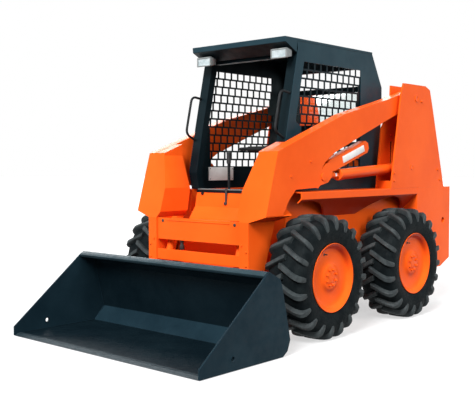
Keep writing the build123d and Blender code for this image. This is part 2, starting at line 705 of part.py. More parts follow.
# ---------------------------------------------------------------- cab
BROW_Z = ROOF_Z - 70       # where the front posts meet the visor
REAR_BROW_Z = ROOF_Z - 266
FRONT_LINE = [(-433, BROW_Z), (-548, 1457), (-618, 1109), (-589, DECK_Z)]
REAR_LINE = [(ROOF_REAR_Y, CAB_TOP_Z), (668, REAR_BROW_Z), (668, REAR_BROW_Z - 109), (655, 1444),
             (622, DECK_Z)]
panel_outline = [
    (-440, CAB_TOP_Z),
    *FRONT_LINE,
    *reversed(REAR_LINE),
]
HOLE_PITCH_Y = 75.5
HOLE_PITCH_Z = 63.0
HOLE_TOP_Z = ROOF_Z - 178
HOLE_LOW_Z = 1180.0
HOLE_FRONT_Y = -337.0
HOLE_WIDTH = 60.0
HOLE_HEIGHT = 50.0
ROW_SLANT = 15.5           # each row starts this much further forward than the one above
HOLE_ROWS = int((HOLE_TOP_Z - HOLE_LOW_Z) / HOLE_PITCH_Z) + 1
WINDOW_TOP = HOLE_TOP_Z + 22
WINDOW_LOW = HOLE_TOP_Z - (HOLE_ROWS - 1) * HOLE_PITCH_Z - 22
WINDOW_REAR_Y = 364.0
WINDOW_KNEE = (-458.0, 1470.0)
WINDOW_FOOT_Y = -392.0     # front edge below the knee
window = [
    (-362, WINDOW_TOP),
    WINDOW_KNEE,
    (WINDOW_FOOT_Y, WINDOW_KNEE[1] - 30),
    (WINDOW_FOOT_Y, WINDOW_LOW),
    (WINDOW_REAR_Y, WINDOW_LOW),
    (WINDOW_REAR_Y, WINDOW_TOP),
]
SCREEN_THICK = 4.0
screen_x = (CAB_HALF_WIDTH - CAB_SHEET - SCREEN_THICK, CAB_HALF_WIDTH - CAB_SHEET)
screen_outline = [
    (-350, WINDOW_TOP + 12),
    (-470, 1490),
    (-470, 1430),
    (-404, 1420),
    (-404, WINDOW_LOW - 12),
    (WINDOW_REAR_Y + 12, WINDOW_LOW - 12),
    (WINDOW_REAR_Y + 12, WINDOW_TOP + 12),
]
screen = side_plate(screen_outline, *screen_x)
rebate = screen
holes = []
for row in range(HOLE_ROWS):
    z = HOLE_TOP_Z - row * HOLE_PITCH_Z
    front = HOLE_FRONT_Y - row * ROW_SLANT
    if z < WINDOW_KNEE[1]:
        front += HOLE_PITCH_Y
    columns = int((WINDOW_REAR_Y + 10 - HOLE_WIDTH / 2 - front) / HOLE_PITCH_Y) + 1
    for column in range(columns):
        y = front + column * HOLE_PITCH_Y
        holes.append(Pos(screen_x[0], y, z) * Box(30, HOLE_WIDTH, HOLE_HEIGHT))
screen = screen.cut(*holes)
parts["side_screens"] = pair(screen)

panel = side_plate(panel_outline, CAB_HALF_WIDTH - CAB_SHEET, CAB_HALF_WIDTH)
panel -= side_plate(window, CAB_HALF_WIDTH - 50, CAB_HALF_WIDTH + 1)
post_x = (CAB_HALF_WIDTH - POST_WIDTH, CAB_HALF_WIDTH - CAB_SHEET)
front_post = side_plate(strip([(-440, CAB_TOP_Z), *FRONT_LINE], POST), *post_x)
rear_post = side_plate(strip([(y - POST, z) for y, z in REAR_LINE], POST), *post_x)
frame_side = panel + (front_post - rebate) + rear_post
rail = CAB_HALF_WIDTH - POST_WIDTH
cab_frame = frame_side + mirrored(frame_side)
VISOR_Z = ROOF_Z - 101      # where the visor's underside meets the front rail
front_rail = [(-430, VISOR_Z - 20), (-418, VISOR_Z + 35), (-440, CAB_TOP_Z), (-380, CAB_TOP_Z),
              (-380, VISOR_Z - 20)]
cab_frame += side_plate(front_rail, -rail, rail)
GLASS_Z = (1500.0, REAR_BROW_Z - 30)
cab_frame += block((-rail, rail), (560, 606), (1440, GLASS_Z[0]))
rear_rail = [(590, GLASS_Z[1]), (655, GLASS_Z[1]), (655, REAR_BROW_Z), (590, REAR_BROW_Z + 15)]
cab_frame += side_plate(rear_rail, -rail, rail)
top_rail = [(530, VISOR_Z - 20), (566, VISOR_Z - 20), (ROOF_REAR_Y + 6, CAB_TOP_Z),
            (480, CAB_TOP_Z)]
cab_frame += side_plate(top_rail, -rail, rail)
sill = block((-CASE_INNER_X + SEAT, CASE_INNER_X - SEAT), (-632, -600), (965, DECK_Z))
cab_frame = Compound([*cab_frame.solids(), *sill.solids()])
parts["cab_frame"] = cab_frame

VISOR_Y = -446.0
VISOR_LIP_Z = ROOF_Z - 39
roof_outline = [
    (ROOF_FRONT_Y, ROOF_Z),
    (ROOF_FRONT_Y + 4, VISOR_LIP_Z),
    (VISOR_Y, VISOR_Z),
    (-440, CAB_TOP_Z),
    (ROOF_REAR_Y, CAB_TOP_Z),
    (ROOF_REAR_Y, ROOF_Z),
]
parts["cab_roof"] = side_plate(roof_outline, -CAB_HALF_WIDTH, CAB_HALF_WIDTH)

GLASS = 6.0
parts["rear_window"] = block((-rail, rail), (600, 600 + GLASS), GLASS_Z)

FLOOR_Z = 420.0
floor_line = [(-640, FLOOR_Z), (-90, FLOOR_Z), (-90, DECK_Z - SHEET), (655, DECK_Z - SHEET)]
floor_sheet = [*floor_line, (655, DECK_Z), (-90 - SHEET, DECK_Z), (-90 - SHEET, FLOOR_Z + SHEET),
               (-640, FLOOR_Z + SHEET)]
parts["cab_floor"] = side_plate(floor_sheet, -inner + SEAT, inner - SEAT)

SEAT_BASE_Z = DECK_Z + 75
SEAT_REAR_Y = 330.0
parts["seat_base"] = block((-230, 230), (-60, SEAT_REAR_Y + 70), (DECK_Z, SEAT_BASE_Z))
parts["seat_cushion"] = block((-220, 220), (SEAT_REAR_Y - 460, SEAT_REAR_Y),
                              (SEAT_BASE_Z + SEAT, SEAT_BASE_Z + 120))
parts["seat_back"] = block((-210, 210), (SEAT_REAR_Y + SEAT, SEAT_REAR_Y + 100),
                           (SEAT_BASE_Z + SEAT, SEAT_BASE_Z + 380))
SEAT_BAR_PIVOT = (480.0, 1330.0)
bar_end = CAB_HALF_WIDTH - CAB_SHEET - SEAT
bar_run = [
    (bar_end, *SEAT_BAR_PIVOT),
    (320, *SEAT_BAR_PIVOT),
    (320, -200, 1290),
    (-320, -200, 1290),
    (-320, *SEAT_BAR_PIVOT),
    (-bar_end, *SEAT_BAR_PIVOT),
]
seat_bar = bent_tube(bar_run, 14, 45)
seat_bar += pair(pin(SEAT_BAR_PIVOT, 18, bar_end - 28, bar_end))
parts["seat_bar"] = seat_bar

lever = bar((200, -430, FLOOR_Z + SHEET + SEAT), (200, -440, 1180), 11, 8)
lever += bar((200, -440, 1180), (200, -440, 1270), 20, 8)
parts["control_levers"] = pair(lever)

LAMP_Y = (-545.0, -480.0)
LAMP_LOW_Z = VISOR_Z - 42
visor_slope = (VISOR_LIP_Z - VISOR_Z) / (ROOF_FRONT_Y + 4 - VISOR_Y)
lamp_top = [(y, VISOR_Z + visor_slope * (y - VISOR_Y) - SEAT) for y in LAMP_Y]
lamp_outline = [*lamp_top, (LAMP_Y[1], LAMP_LOW_Z), (LAMP_Y[0], LAMP_LOW_Z)]
parts["work_lamps"] = pair(side_plate(lamp_outline, 290, 430))

handle_x = CAB_HALF_WIDTH - 20
handle = bent_tube([(handle_x, -480, 1666), (handle_x, -604, 1684), (handle_x, -668, 1400),
               (handle_x, -550, 1345)], 9, 30)
parts["grab_handles"] = pair(handle - front_post)

# ---------------------------------------------------------------- rear
hood_low = [(y, WALL_FRONT_Z + WALL_SLOPE * (y - WALL_FRONT_Y) + SEAT) 
            for y in (WALL_FRONT_Y + 2, WALL_REAR_Y - 2)]
hood_top = [(y, z + SHEET) for y, z in reversed(hood_low)]
hood = side_plate([*hood_low, *hood_top], -HOOD_HALF, HOOD_HALF)
HOOD_HINGE = (WALL_FRONT_Y + 2, WALL_FRONT_Z + 6)
for x in (-400, 400):
    hood += pin(HOOD_HINGE, 7, x - 30, x + 30)
parts["engine_hood"] = hood

GRILLE_HALF = 380.0
GRILLE_Z = (600.0, 1060.0)
door = block((-DOOR_HALF, DOOR_HALF), (DOOR_FRONT_Y, REAR_Y), (430, WALL_REAR_Z - 10))
door -= block((-GRILLE_HALF, GRILLE_HALF), (DOOR_FRONT_Y - 1, REAR_Y + 1), GRILLE_Z)
for z in DOOR_HINGES:
    door += Pos(-DOOR_HINGE_X, DOOR_HINGE_Y, z) * Cylinder(HINGE_RADIUS, HINGE_LENGTH)
    door += block((-DOOR_HINGE_X, -DOOR_HALF), (DOOR_HINGE_Y - 4, REAR_Y), (z - 20, z + 20))
parts["rear_door"] = door
SLOT_PITCH = 31.0
grille = block((-GRILLE_HALF, GRILLE_HALF), (REAR_Y - 24, REAR_Y - 18), GRILLE_Z)
for i in range(14):
    slot_z = GRILLE_Z[0] + 20 + i * SLOT_PITCH
    grille -= block((-GRILLE_HALF + 30, GRILLE_HALF - 30), (DOOR_FRONT_Y, REAR_Y),
                    (slot_z, slot_z + 16))
parts["rear_grille"] = grille
parts["tail_lamps"] = pair(block((540, 610), (QUARTER_REAR_Y, REAR_Y), (860, 940)))

# ---------------------------------------------------------------- export
os.makedirs("parts", exist_ok=True)
for name, shape in parts.items():
    export_step(Pos(0, -Y_ORIGIN, 0) * shape, f"parts/{name}.step")
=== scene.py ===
"""Skid steer loader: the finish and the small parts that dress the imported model.

Metres. +X is the machine's left, -Y its front and +Z up; the origin is on the ground.
"""
import json
import math

import bmesh
import bpy
from mathutils import Matrix, Vector


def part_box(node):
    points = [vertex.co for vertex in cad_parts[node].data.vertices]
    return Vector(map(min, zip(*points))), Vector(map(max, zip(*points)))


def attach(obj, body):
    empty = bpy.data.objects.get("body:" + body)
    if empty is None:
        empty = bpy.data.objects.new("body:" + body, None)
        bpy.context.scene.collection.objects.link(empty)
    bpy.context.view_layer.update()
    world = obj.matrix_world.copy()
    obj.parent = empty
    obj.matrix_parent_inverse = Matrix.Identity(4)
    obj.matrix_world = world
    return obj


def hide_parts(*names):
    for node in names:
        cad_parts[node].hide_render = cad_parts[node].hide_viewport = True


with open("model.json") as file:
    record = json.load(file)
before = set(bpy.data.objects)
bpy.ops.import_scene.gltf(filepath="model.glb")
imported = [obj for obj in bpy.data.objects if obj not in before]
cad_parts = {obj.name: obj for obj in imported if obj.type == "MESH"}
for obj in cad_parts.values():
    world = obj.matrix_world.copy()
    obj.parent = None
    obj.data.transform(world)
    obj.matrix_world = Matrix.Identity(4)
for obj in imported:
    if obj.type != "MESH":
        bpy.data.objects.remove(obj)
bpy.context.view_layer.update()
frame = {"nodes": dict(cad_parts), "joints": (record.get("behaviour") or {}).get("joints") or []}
nodes = frame["nodes"]

# ---- Studio
# The machine stands on a white paper sweep in an evenly lit room. A soft sun before its
# front and weaker ones on its left and behind it shape it; paper and walls look white.
scene = bpy.context.scene
scene.view_settings.view_transform = "Standard"

camera = bpy.data.objects.new("camera", bpy.data.cameras.new("camera"))
scene.collection.objects.link(camera)
camera.location = (3.9047, -4.761, 1.1678)
camera.rotation_euler = (math.radians(87.45), 0, math.radians(41.58))
camera.data.lens = 61.37
camera.data.sensor_width = 36
scene.camera = camera

SUNS = [  # name, direction it shines from, strength, spread in degrees
    ("front_sun", (0.20, -0.74, 0.64), 4.4, 24),
    ("left_sun", (0.85, -0.10, 0.50), 1.45, 40),
    ("back_sun", (-0.62, 0.62, 0.46), 2.2, 50),
]
for name, towards, strength, spread in SUNS:
    light = bpy.data.lights.new(name, "SUN")
    light.energy = strength
    light.angle = math.radians(spread)
    holder = bpy.data.objects.new(name, light)
    holder.rotation_euler = Vector(towards).to_track_quat("Z", "Y").to_euler()
    scene.collection.objects.link(holder)

ROOM_LIGHT = 0.42
PAPER_BOUNCE = 0.08      # what the paper throws back on the machine
PAPER_SHADE = 0.42       # how much of the paper's white a shadow can take away


def add(tree, kind, inputs=None, **settings):
    """A node with its settings, its inputs set to values or joined to other nodes."""
    node = tree.nodes.new(kind)
    for key, value in settings.items():
        setattr(node, key, value)
    for key, value in (inputs or {}).items():
        if isinstance(value, bpy.types.NodeSocket):
            tree.links.new(value, node.inputs[key])
        else:
            node.inputs[key].default_value = value
    return node


def reckon(tree, operation, *values):
    """The result of one sum on values or outputs."""
    return add(tree, "ShaderNodeMath", dict(enumerate(values)), operation=operation).outputs[0]


def seen_white(tree):
    """One for what the eye, gloss and glass see, none for what lights the machine."""
    rays = add(tree, "ShaderNodeLightPath").outputs
    seen = reckon(tree, "MAXIMUM", rays["Is Camera Ray"], rays["Is Glossy Ray"])
    return reckon(tree, "MAXIMUM", seen, rays["Is Transmission Ray"])


room = bpy.data.worlds.new("room")
scene.world = room
room.use_nodes = True
tree = room.node_tree
strength = add(tree, "ShaderNodeMix", {0: seen_white(tree), 2: ROOM_LIGHT, 3: 1.0})
tree.nodes["Background"].inputs["Color"].default_value = (1, 1, 1, 1)
tree.links.new(strength.outputs[0], tree.nodes["Background"].inputs["Strength"])

paper = bpy.data.materials.new("white_paper")
paper.use_nodes = True
tree = paper.node_tree
tree.nodes.remove(tree.nodes["Principled BSDF"])
glow = add(tree, "ShaderNodeEmission", {"Color": (1, 1, 1, 1), "Strength": 1 - PAPER_SHADE})
matt = add(tree, "ShaderNodeBsdfDiffuse", {"Color": (PAPER_SHADE, PAPER_SHADE, PAPER_SHADE, 1)})
white = add(tree, "ShaderNodeAddShader", {0: glow.outputs[0], 1: matt.outputs[0]})
dull = add(tree, "ShaderNodeBsdfDiffuse", {"Color": (PAPER_BOUNCE, PAPER_BOUNCE, PAPER_BOUNCE, 1)})
both = add(tree, "ShaderNodeMixShader", {0: seen_white(tree), 1: dull.outputs[0],
                                         2: white.outputs[0]})
tree.links.new(both.outputs[0], tree.nodes["Material Output"].inputs["Surface"])
SWEEP = 60.0
sheet = bpy.data.meshes.new("paper_sweep")
sheet.from_pydata([(-SWEEP, -SWEEP, 0), (SWEEP, -SWEEP, 0), (SWEEP, SWEEP, 0),
                   (-SWEEP, SWEEP, 0)], [], [(0, 1, 2, 3)])
sheet.materials.append(paper)
sweep = bpy.data.objects.new("paper_sweep", sheet)
scene.collection.objects.link(sweep)

# ---- Lower frame
# The frame is welded from folded and plasma cut plate. It is sprayed in orange enamel with a
# slight orange peel, a little uneven in colour, its sheet edges ground round first.
PLACE = {joint["name"]: Vector(joint["pos_m"]) for joint in frame["joints"] if "pos_m" in joint}


def coat(name, low, high, rough, clouds=2.2, grain=260.0, bump=0.05, shine=0.5,
         shine_tint=(1, 1, 1, 1), **shader_inputs):
    """A finish that drifts between two colours in soft clouds, over a fine grained skin."""
    material = bpy.data.materials.new(name)
    material.use_nodes = True
    tree = material.node_tree
    shader = tree.nodes["Principled BSDF"]
    place = add(tree, "ShaderNodeTexCoord").outputs["Object"]

    def noise(scale, detail, **more):
        return add(tree, "ShaderNodeTexNoise", {"Vector": place, "Scale": scale,
                                                "Detail": detail, **more}).outputs["Fac"]

    spread = add(tree, "ShaderNodeMapRange", {"Value": noise(clouds, 5.0, Roughness=0.6),
                                              "From Min": 0.36, "From Max": 0.64})
    colour = add(tree, "ShaderNodeMix", {0: spread.outputs[0], 6: (*low, 1), 7: (*high, 1)},
                 data_type="RGBA")
    tree.links.new(colour.outputs[2], shader.inputs["Base Color"])
    gloss = add(tree, "ShaderNodeMapRange", {"Value": noise(clouds * 6, 3.0), "From Min": 0.35,
                                             "From Max": 0.65, "To Min": rough[0],
                                             "To Max": rough[1]})
    tree.links.new(gloss.outputs[0], shader.inputs["Roughness"])
    raised = add(tree, "ShaderNodeBump", {"Height": noise(grain, 2.0), "Strength": bump,
                                          "Distance": 0.001})
    tree.links.new(raised.outputs[0], shader.inputs["Normal"])
    shader.inputs["Specular IOR Level"].default_value = shine
    shader.inputs["Specular Tint"].default_value = shine_tint
    for key, value in shader_inputs.items():
        shader.inputs[key.replace("_", " ")].default_value = value
    return material


def tint(material, where, shades):
    """Multiplies a finish by three shades, as far as the given value goes from none to one."""
    tree = material.node_tree
    base = tree.nodes["Principled BSDF"].inputs["Base Color"]
    mixed = add(tree, "ShaderNodeMix", {0: where, 6: base.links[0].from_socket,
                                        7: (*shades, 1)}, data_type="RGBA",
                blend_type="MULTIPLY")
    tree.links.new(mixed.outputs[2], base)


def along_machine(tree, axis, what="Object"):
    """A point's place along one axis of the machine, or what another output says of it."""
    place = add(tree, "ShaderNodeTexCoord").outputs[what]
    return add(tree, "ShaderNodeSeparateXYZ", {"Vector": place}).outputs[axis]


def within(tree, value, limit):
    """One where a value's size is under a limit, and none above it."""
    return reckon(tree, "LESS_THAN", reckon(tree, "ABSOLUTE", value), limit)


def facing_down(tree, start, end):
    """Rises from none to one as a face turns from one downward tilt to a steeper one."""
    return add(tree, "ShaderNodeMapRange", {"Value": along_machine(tree, "Z", "Normal"),
                                            "From Min": start, "From Max": end}).outputs[0]


def dress(material, *names, edge=0.003):
    """Gives CAD nodes their finish, and rounds their edges by a small radius."""
    for name in names:
        node = nodes[name]
        node.data.materials.clear()
        node.data.materials.append(material)
        if edge:
            weld = node.modifiers.new("weld", "WELD")
            weld.merge_threshold = 0.00002
            flat = node.modifiers.new("flat", "DECIMATE")
            flat.decimate_type = "DISSOLVE"
            flat.angle_limit = math.radians(0.5)
            round_edge = node.modifiers.new("round_edge", "BEVEL")
            round_edge.width = edge
            round_edge.segments = 2
            round_edge.limit_method = "ANGLE"
            round_edge.angle_limit = math.radians(32)


orange = coat("orange_enamel", (0.92, 0.104, 0.009), (1.0, 0.128, 0.013), (0.31, 0.37),
              shine=0.16, shine_tint=(1.0, 0.25, 0.06, 1))
# Painted shade: every orange face that turns downward is darkened to a maroon tone.
UNDERSIDE_SHADE = (0.45, 0.25, 0.8)
tint(orange, facing_down(orange.node_tree, -0.1, -0.7), UNDERSIDE_SHADE)
dress(orange, "chassis", "fenders", "axle_tubes")

# ---- Engine
# The engine, pump and cooling pack stand in the bay as one grey casting. A ribbed cover sits
# on top, held by its own ribs' feet.
iron = coat("grey_iron", (0.13, 0.14, 0.15), (0.22, 0.23, 0.24), (0.55, 0.75), clouds=9.0,
            grain=420.0, bump=0.25)
dress(iron, "engine_block", edge=0.012)


def as_mesh(shape):
    """The mesh of what was built, its faces turned outwards."""
    bmesh.ops.remove_doubles(shape, verts=shape.verts, dist=0.00001)
    bmesh.ops.recalc_face_normals(shape, faces=shape.faces)
    mesh = bpy.data.meshes.new("shape")
    shape.to_mesh(mesh)
    shape.free()
    return mesh


def piece(name, built, material, body, smooth=35):
    """Puts a built shape or a mesh in the scene, on the body that it moves with."""
    mesh = as_mesh(built) if isinstance(built, bmesh.types.BMesh) else built
    mesh.name = name
    mesh.materials.clear()
    mesh.materials.append(material)
    mesh.shade_smooth()
    mesh.set_sharp_from_angle(angle=math.radians(smooth))
    made = bpy.data.objects.new(name, mesh)
    scene.collection.objects.link(made)
    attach(made, body)
    return made


def skin(shape, rings, capped=True):
    """Adds the faces between rings of corners, and over both ends. A ring may be one point."""
    faces = []
    for ring_a, ring_b in zip(rings, rings[1:]):
        for i in range(max(len(ring_a), len(ring_b))):
            j = i + 1
            corners = [ring_a[i % len(ring_a)], ring_a[j % len(ring_a)],
                       ring_b[j % len(ring_b)], ring_b[i % len(ring_b)]]
            corners = list(dict.fromkeys(corners))
            if len(corners) > 2:
                faces.append(shape.faces.new(corners))
    if capped:
        faces += [shape.faces.new(rings[0]), shape.faces.new(list(reversed(rings[-1])))]
    bmesh.ops.recalc_face_normals(shape, faces=faces)
    return faces


def slab(shape, outline, low, high, along="x", ease=0.0):
    """Adds a plate with an outline in the two other directions, its edges eased."""
    order = {"x": (1, 2, 0), "y": (0, 2, 1), "z": (0, 1, 2)}[along]

    def corner(point, depth):
        place = [0, 0, 0]
        for axis, value in zip(order, (*point, depth)):
            place[axis] = value
        return shape.verts.new(place)

    faces = skin(shape, [[corner(point, depth) for point in outline] for depth in (low, high)])
    if ease:
        edges = list({edge for face in faces for edge in face.edges})
        bmesh.ops.bevel(shape, geom=edges, offset=ease, segments=2, profile=0.5,
                        affect="EDGES", clamp_overlap=True)
    return shape


def oblong(low_u, high_u, low_v, high_v):
    """The outline of a rectangle."""
    return [(low_u, low_v), (high_u, low_v), (high_u, high_v), (low_u, high_v)]


def group(name, *sockets):
    """An empty node tree that takes a mesh, a part, a finish and the inputs that are given as
    (name, kind, default)."""
    tree = bpy.data.node_groups.new(name, "GeometryNodeTree")
    tree.interface.new_socket("Geometry", in_out="OUTPUT", socket_type="NodeSocketGeometry")
    for label, kind, default in (("Geometry", "Geometry", None), ("Part", "Object", None),
                                 ("Finish", "Material", None), *sockets):
        socket = tree.interface.new_socket(label, in_out="INPUT", socket_type="NodeSocket" + kind)
        if default is not None:
            socket.default_value = default
    return tree, add(tree, "NodeGroupInput").outputs


def copies_on(tree, given, points, **turn):
    """The given part on each point, turned as asked."""
    part = add(tree, "GeometryNodeObjectInfo", {"Object": given["Part"]}).outputs["Geometry"]
    return add(tree, "GeometryNodeInstanceOnPoints",
               {"Points": points, "Instance": part, **turn}).outputs[0]


def close_group(tree, given, geometry):
    """Ends a tree: copies made real, finish set."""
    real = add(tree, "GeometryNodeRealizeInstances", {"Geometry": geometry}).outputs[0]
    done = add(tree, "GeometryNodeSetMaterial", {"Geometry": real, "Material": given["Finish"]})
    add(tree, "NodeGroupOutput", {"Geometry": done.outputs[0]})
    return tree


def row_group():
    """Copies of a part in a straight row."""
    tree, given = group("row_of_parts", ("Count", "Int", 5), ("Start", "Vector", None),
                        ("Step", "Vector", None))
    line = add(tree, "GeometryNodeMeshLine", {"Count": given["Count"],
                                              "Start Location": given["Start"],
                                              "Offset": given["Step"]})
    return close_group(tree, given, copies_on(tree, given, line.outputs[0]))


def evaluated(source):
    """The plain mesh that an object's modifiers make."""
    graph = bpy.context.evaluated_depsgraph_get()
    return bpy.data.meshes.new_from_object(source.evaluated_get(graph))


def held(mesh):
    """An object that holds a mesh, for a tree or modifiers to work on."""
    holder = bpy.data.objects.new("holder", mesh)
    scene.collection.objects.link(holder)
    return holder


def worked_out(mesh, tree, shape, material, **inputs):
    """The plain mesh that a node tree makes of a mesh and copies of a shape in a finish."""
    holder, part = held(mesh), held(as_mesh(shape))
    modifier = holder.modifiers.new(tree.name, "NODES")
    modifier.node_group = tree
    keys = {item.name: item.identifier for item in tree.interface.items_tree
            if item.item_type == "SOCKET" and item.in_out == "INPUT"}
    for label, value in {"Part": part, "Finish": material, **inputs}.items():
        modifier[keys[label.replace("_", " ")]] = value
    bpy.context.view_layer.update()
    result = evaluated(holder)
    holder.modifiers.remove(modifier)
    bpy.data.objects.remove(holder)
    bpy.data.objects.remove(part)
    return result


row_of_parts = row_group()


def row(shape, count, start, step, material):
    """Copies of a shape in a row, as one mesh."""
    return worked_out(bpy.data.meshes.new("row"), row_of_parts, shape, material, Count=count,
                      Start=Vector(start), Step=Vector(step))


engine_low, engine_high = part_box("engine_block")
COVER_RIBS = 9
COVER_MARGIN = 0.08
COVER_RIB = oblong(-0.15, 0.15, -0.012, 0.012)
rib_step = (engine_high.y - engine_low.y - 2 * COVER_MARGIN) / (COVER_RIBS - 1)
first_rib = (0, engine_low.y + COVER_MARGIN, engine_high.z - 0.004)
rib = slab(bmesh.new(), COVER_RIB, 0, 0.045, along="z", ease=0.006)
piece("engine_cover_ribs", row(rib, COVER_RIBS, first_rib, (0, rib_step, 0), iron), iron,
      "machine")

# ---- Wheels
# Each rim is two pressed steel halves welded on a shallow dish and painted orange, bolted to
# the hub by eight nuts. A tube valve sticks out of the dish near the bead.
TYRE_RADIUS = PLACE["wheel_front_left_spin"].z
RIM_EDGE = 0.138
RIM_RADIUS = 0.232


def spokes(side, up, steps):
    """Directions evenly all round, starting from one and turning towards another."""
    turns = [2 * math.pi * i / steps for i in range(steps)]
    return [side * math.cos(turn) + up * math.sin(turn) for turn in turns]


def turned(shape, profile, origin=(0, 0, 0), axis=(1, 0, 0), steps=48):
    """Adds a turned shape, from (distance along its axis, radius) points. A profile that
    starts and ends on the axis makes a solid, and any other is closed into a ring."""
    axis = Vector(axis).normalized()
    side = axis.orthogonal().normalized()
    if abs(axis.x) > 0.99:
        side = Vector((0, 0, 1))
    around = spokes(side, axis.cross(side), steps)
    rings = []
    for distance, radius in profile:
        centre = Vector(origin) + axis * distance
        rings.append([shape.verts.new(centre + spoke * radius)
                      for spoke in (around if radius else around[:1])])
    if len(rings[0]) > 1:
        rings.append(rings[0])
    skin(shape, rings, capped=False)
    return shape


def ring_group():
    """Copies of a part round the X axis, joined to the mesh that carries the tree."""
    tree, given = group("ring_of_parts", ("Count", "Int", 8), ("First angle", "Float", 0.0))
    points = add(tree, "GeometryNodeMeshLine", {"Count": given["Count"],
                                                "Offset": (0.0, 0.0, 0.0)})
    step = reckon(tree, "DIVIDE", 2 * math.pi, given["Count"])
    index = add(tree, "GeometryNodeInputIndex").outputs[0]
    angle = reckon(tree, "MULTIPLY_ADD", index, step, given["First angle"])
    turn = add(tree, "ShaderNodeCombineXYZ", {"X": angle})
    copies = copies_on(tree, given, points.outputs[0], Rotation=turn.outputs[0])
    joined = add(tree, "GeometryNodeJoinGeometry")
    tree.links.new(copies, joined.inputs[0])
    tree.links.new(given["Geometry"], joined.inputs[0])
    return close_group(tree, given, joined.outputs[0])


ring_of_parts = ring_group()


def ring(mesh, shape, count, first_angle, material):
    """A mesh with copies of a shape round it, as one mesh."""
    return worked_out(mesh, ring_of_parts, shape, material, Count=count,
                      First_angle=first_angle)


RIM_PROFILE = [  # distance from the wheel's middle plane, radius
    (0.084, 0), (0.084, 0.196), (0.080, 0.204), (-0.110, 0.205), (-0.124, 0.209),
    (-0.132, 0.224), (-RIM_EDGE, RIM_RADIUS - 0.003), (-RIM_EDGE + 0.003, RIM_RADIUS),
    (-RIM_EDGE + 0.008, RIM_RADIUS - 0.003), (-0.126, 0.218), (-0.118, 0.2117), (0.118, 0.2117),
    (0.126, 0.218), (RIM_EDGE - 0.008, RIM_RADIUS - 0.003), (RIM_EDGE - 0.003, RIM_RADIUS),
    (RIM_EDGE, RIM_RADIUS - 0.003), (0.134, 0.224), (0.127, 0.212), (0.116, 0.205),
    (0.107, 0.200), (0.101, 0.190), (0.098, 0.165), (0.098, 0.130), (0.100, 0.105),
    (0.105, 0.090), (0.110, 0.083), (0.113, 0.076), (0.114, 0.066), (0.114, 0.040),
    (0.116, 0.036), (0.1163, 0.020), (0.1163, 0),
]
NUTS = 8
NUT_CIRCLE = 0.055
NUT = [(0.110, 0), (0.110, 0.009), (0.1165, 0.0092), (0.1165, 0.0078), (0.126, 0.0078),
       (0.128, 0.006), (0.128, 0)]
rim = as_mesh(turned(bmesh.new(), RIM_PROFILE, steps=96))
nut = turned(bmesh.new(), NUT, origin=(0, 0, NUT_CIRCLE), steps=6)
rim_mesh = ring(rim, nut, NUTS, math.pi / NUTS, orange)

VALVE_PLACE = (-0.058, 0.158)      # from the hub, along the machine and up
VALVE = [(0.096, 0), (0.096, 0.009), (0.1005, 0.009), (0.103, 0.006), (0.105, 0.004),
         (0.116, 0.0034), (0.116, 0.0042), (0.123, 0.0042), (0.124, 0.002), (0.124, 0)]
valve_rubber = coat("valve_rubber", (0.012, 0.013, 0.014), (0.022, 0.023, 0.024), (0.5, 0.7))
valve_mesh = as_mesh(turned(bmesh.new(), VALVE, origin=(0, *VALVE_PLACE), steps=20))

# The tyre is moulded black rubber on a bias ply carcass, with two rows of curved bars that
# meet the ground at the crown and wrap over the shoulders. Its sidewalls bulge over the rim.
# Painted shade: the carcass, in the grooves and on the sidewalls, is painted darker than the bars.
rubber = coat("tyre_rubber_painted_shade", (0.003, 0.005, 0.006), (0.008, 0.011, 0.012), (0.5, 0.75),
              clouds=14.0, grain=520.0, bump=0.3, shine=0.05)
worn_rubber = coat("tread_rubber", (0.016, 0.021, 0.023), (0.036, 0.045, 0.047), (0.5, 0.75),
                   clouds=18.0, grain=520.0, bump=0.3, shine=0.25)
LUGS_A_ROW = 20
FIRST_LUG = math.pi + math.asin(0.064 / TYRE_RADIUS)     # a bar stands beside the ground point
HALF_CARCASS = [  # distance from the middle plane, radius
    (0.0, 0.3895), (0.045, 0.3885), (0.085, 0.3850), (0.112, 0.3780), (0.129, 0.3660),
    (0.139, 0.3500), (0.1450, 0.3300), (0.1472, 0.3080), (0.1462, 0.2860), (0.1430, 0.2660),
    (0.1385, 0.2500), (0.1365, 0.2440), (0.1350, 0.2400), (0.1330, 0.2365), (0.1270, 0.2310),
    (0.1230, 0.2200), (0.1180, 0.2120),
]
LUG_STATIONS = [  # top: distance out and radius; foot: the same; place round; half width
    ((-0.016, 0.4160), (-0.016, 0.3800), 0.0440, 0.0195),
    ((0.012, 0.4170), (0.012, 0.3800), 0.0300, 0.0195),
    ((0.045, 0.4172), (0.045, 0.3800), 0.0110, 0.0185),
    ((0.078, 0.4165), (0.076, 0.3770), -0.0080, 0.0180),
    ((0.104, 0.4140), (0.100, 0.3720), -0.0210, 0.0185),
    ((0.122, 0.4090), (0.115, 0.3660), -0.0290, 0.0195),
    ((0.134, 0.3990), (0.124, 0.3580), -0.0340, 0.0205),
    ((0.143, 0.3840), (0.132, 0.3480), -0.0375, 0.0210),
    ((0.1492, 0.3620), (0.138, 0.3360), -0.0400, 0.0200),
    ((0.1505, 0.3400), (0.141, 0.3250), -0.0415, 0.0180),
    ((0.1495, 0.3220), (0.1435, 0.3150), -0.0425, 0.0130),
]
LUG_CHAMFER = 0.22       # share of a bar's height
FOOT_FLARE, TOP_TAPER = 0.004, 0.006


def lug(side):
    """One tread bar for the left or right row of a tyre, as it stands at the top."""
    shape = bmesh.new()
    rings = []
    for top, foot, along, half in LUG_STATIONS:
        flank = [(*Vector(foot).lerp(Vector(top), share), width)
                 for share, width in ((0, half + FOOT_FLARE), (1 - LUG_CHAMFER, half),
                                      (1, half - TOP_TAPER))]
        section = [(out, radius, along - width) for out, radius, width in flank]
        section += [(out, radius, along + width) for out, radius, width in reversed(flank)]
        rings.append([shape.verts.new((side * out, radius * math.sin(run / TYRE_RADIUS),
                                       radius * math.cos(run / TYRE_RADIUS)))
                      for out, radius, run in section])
    skin(shape, rings)
    return shape


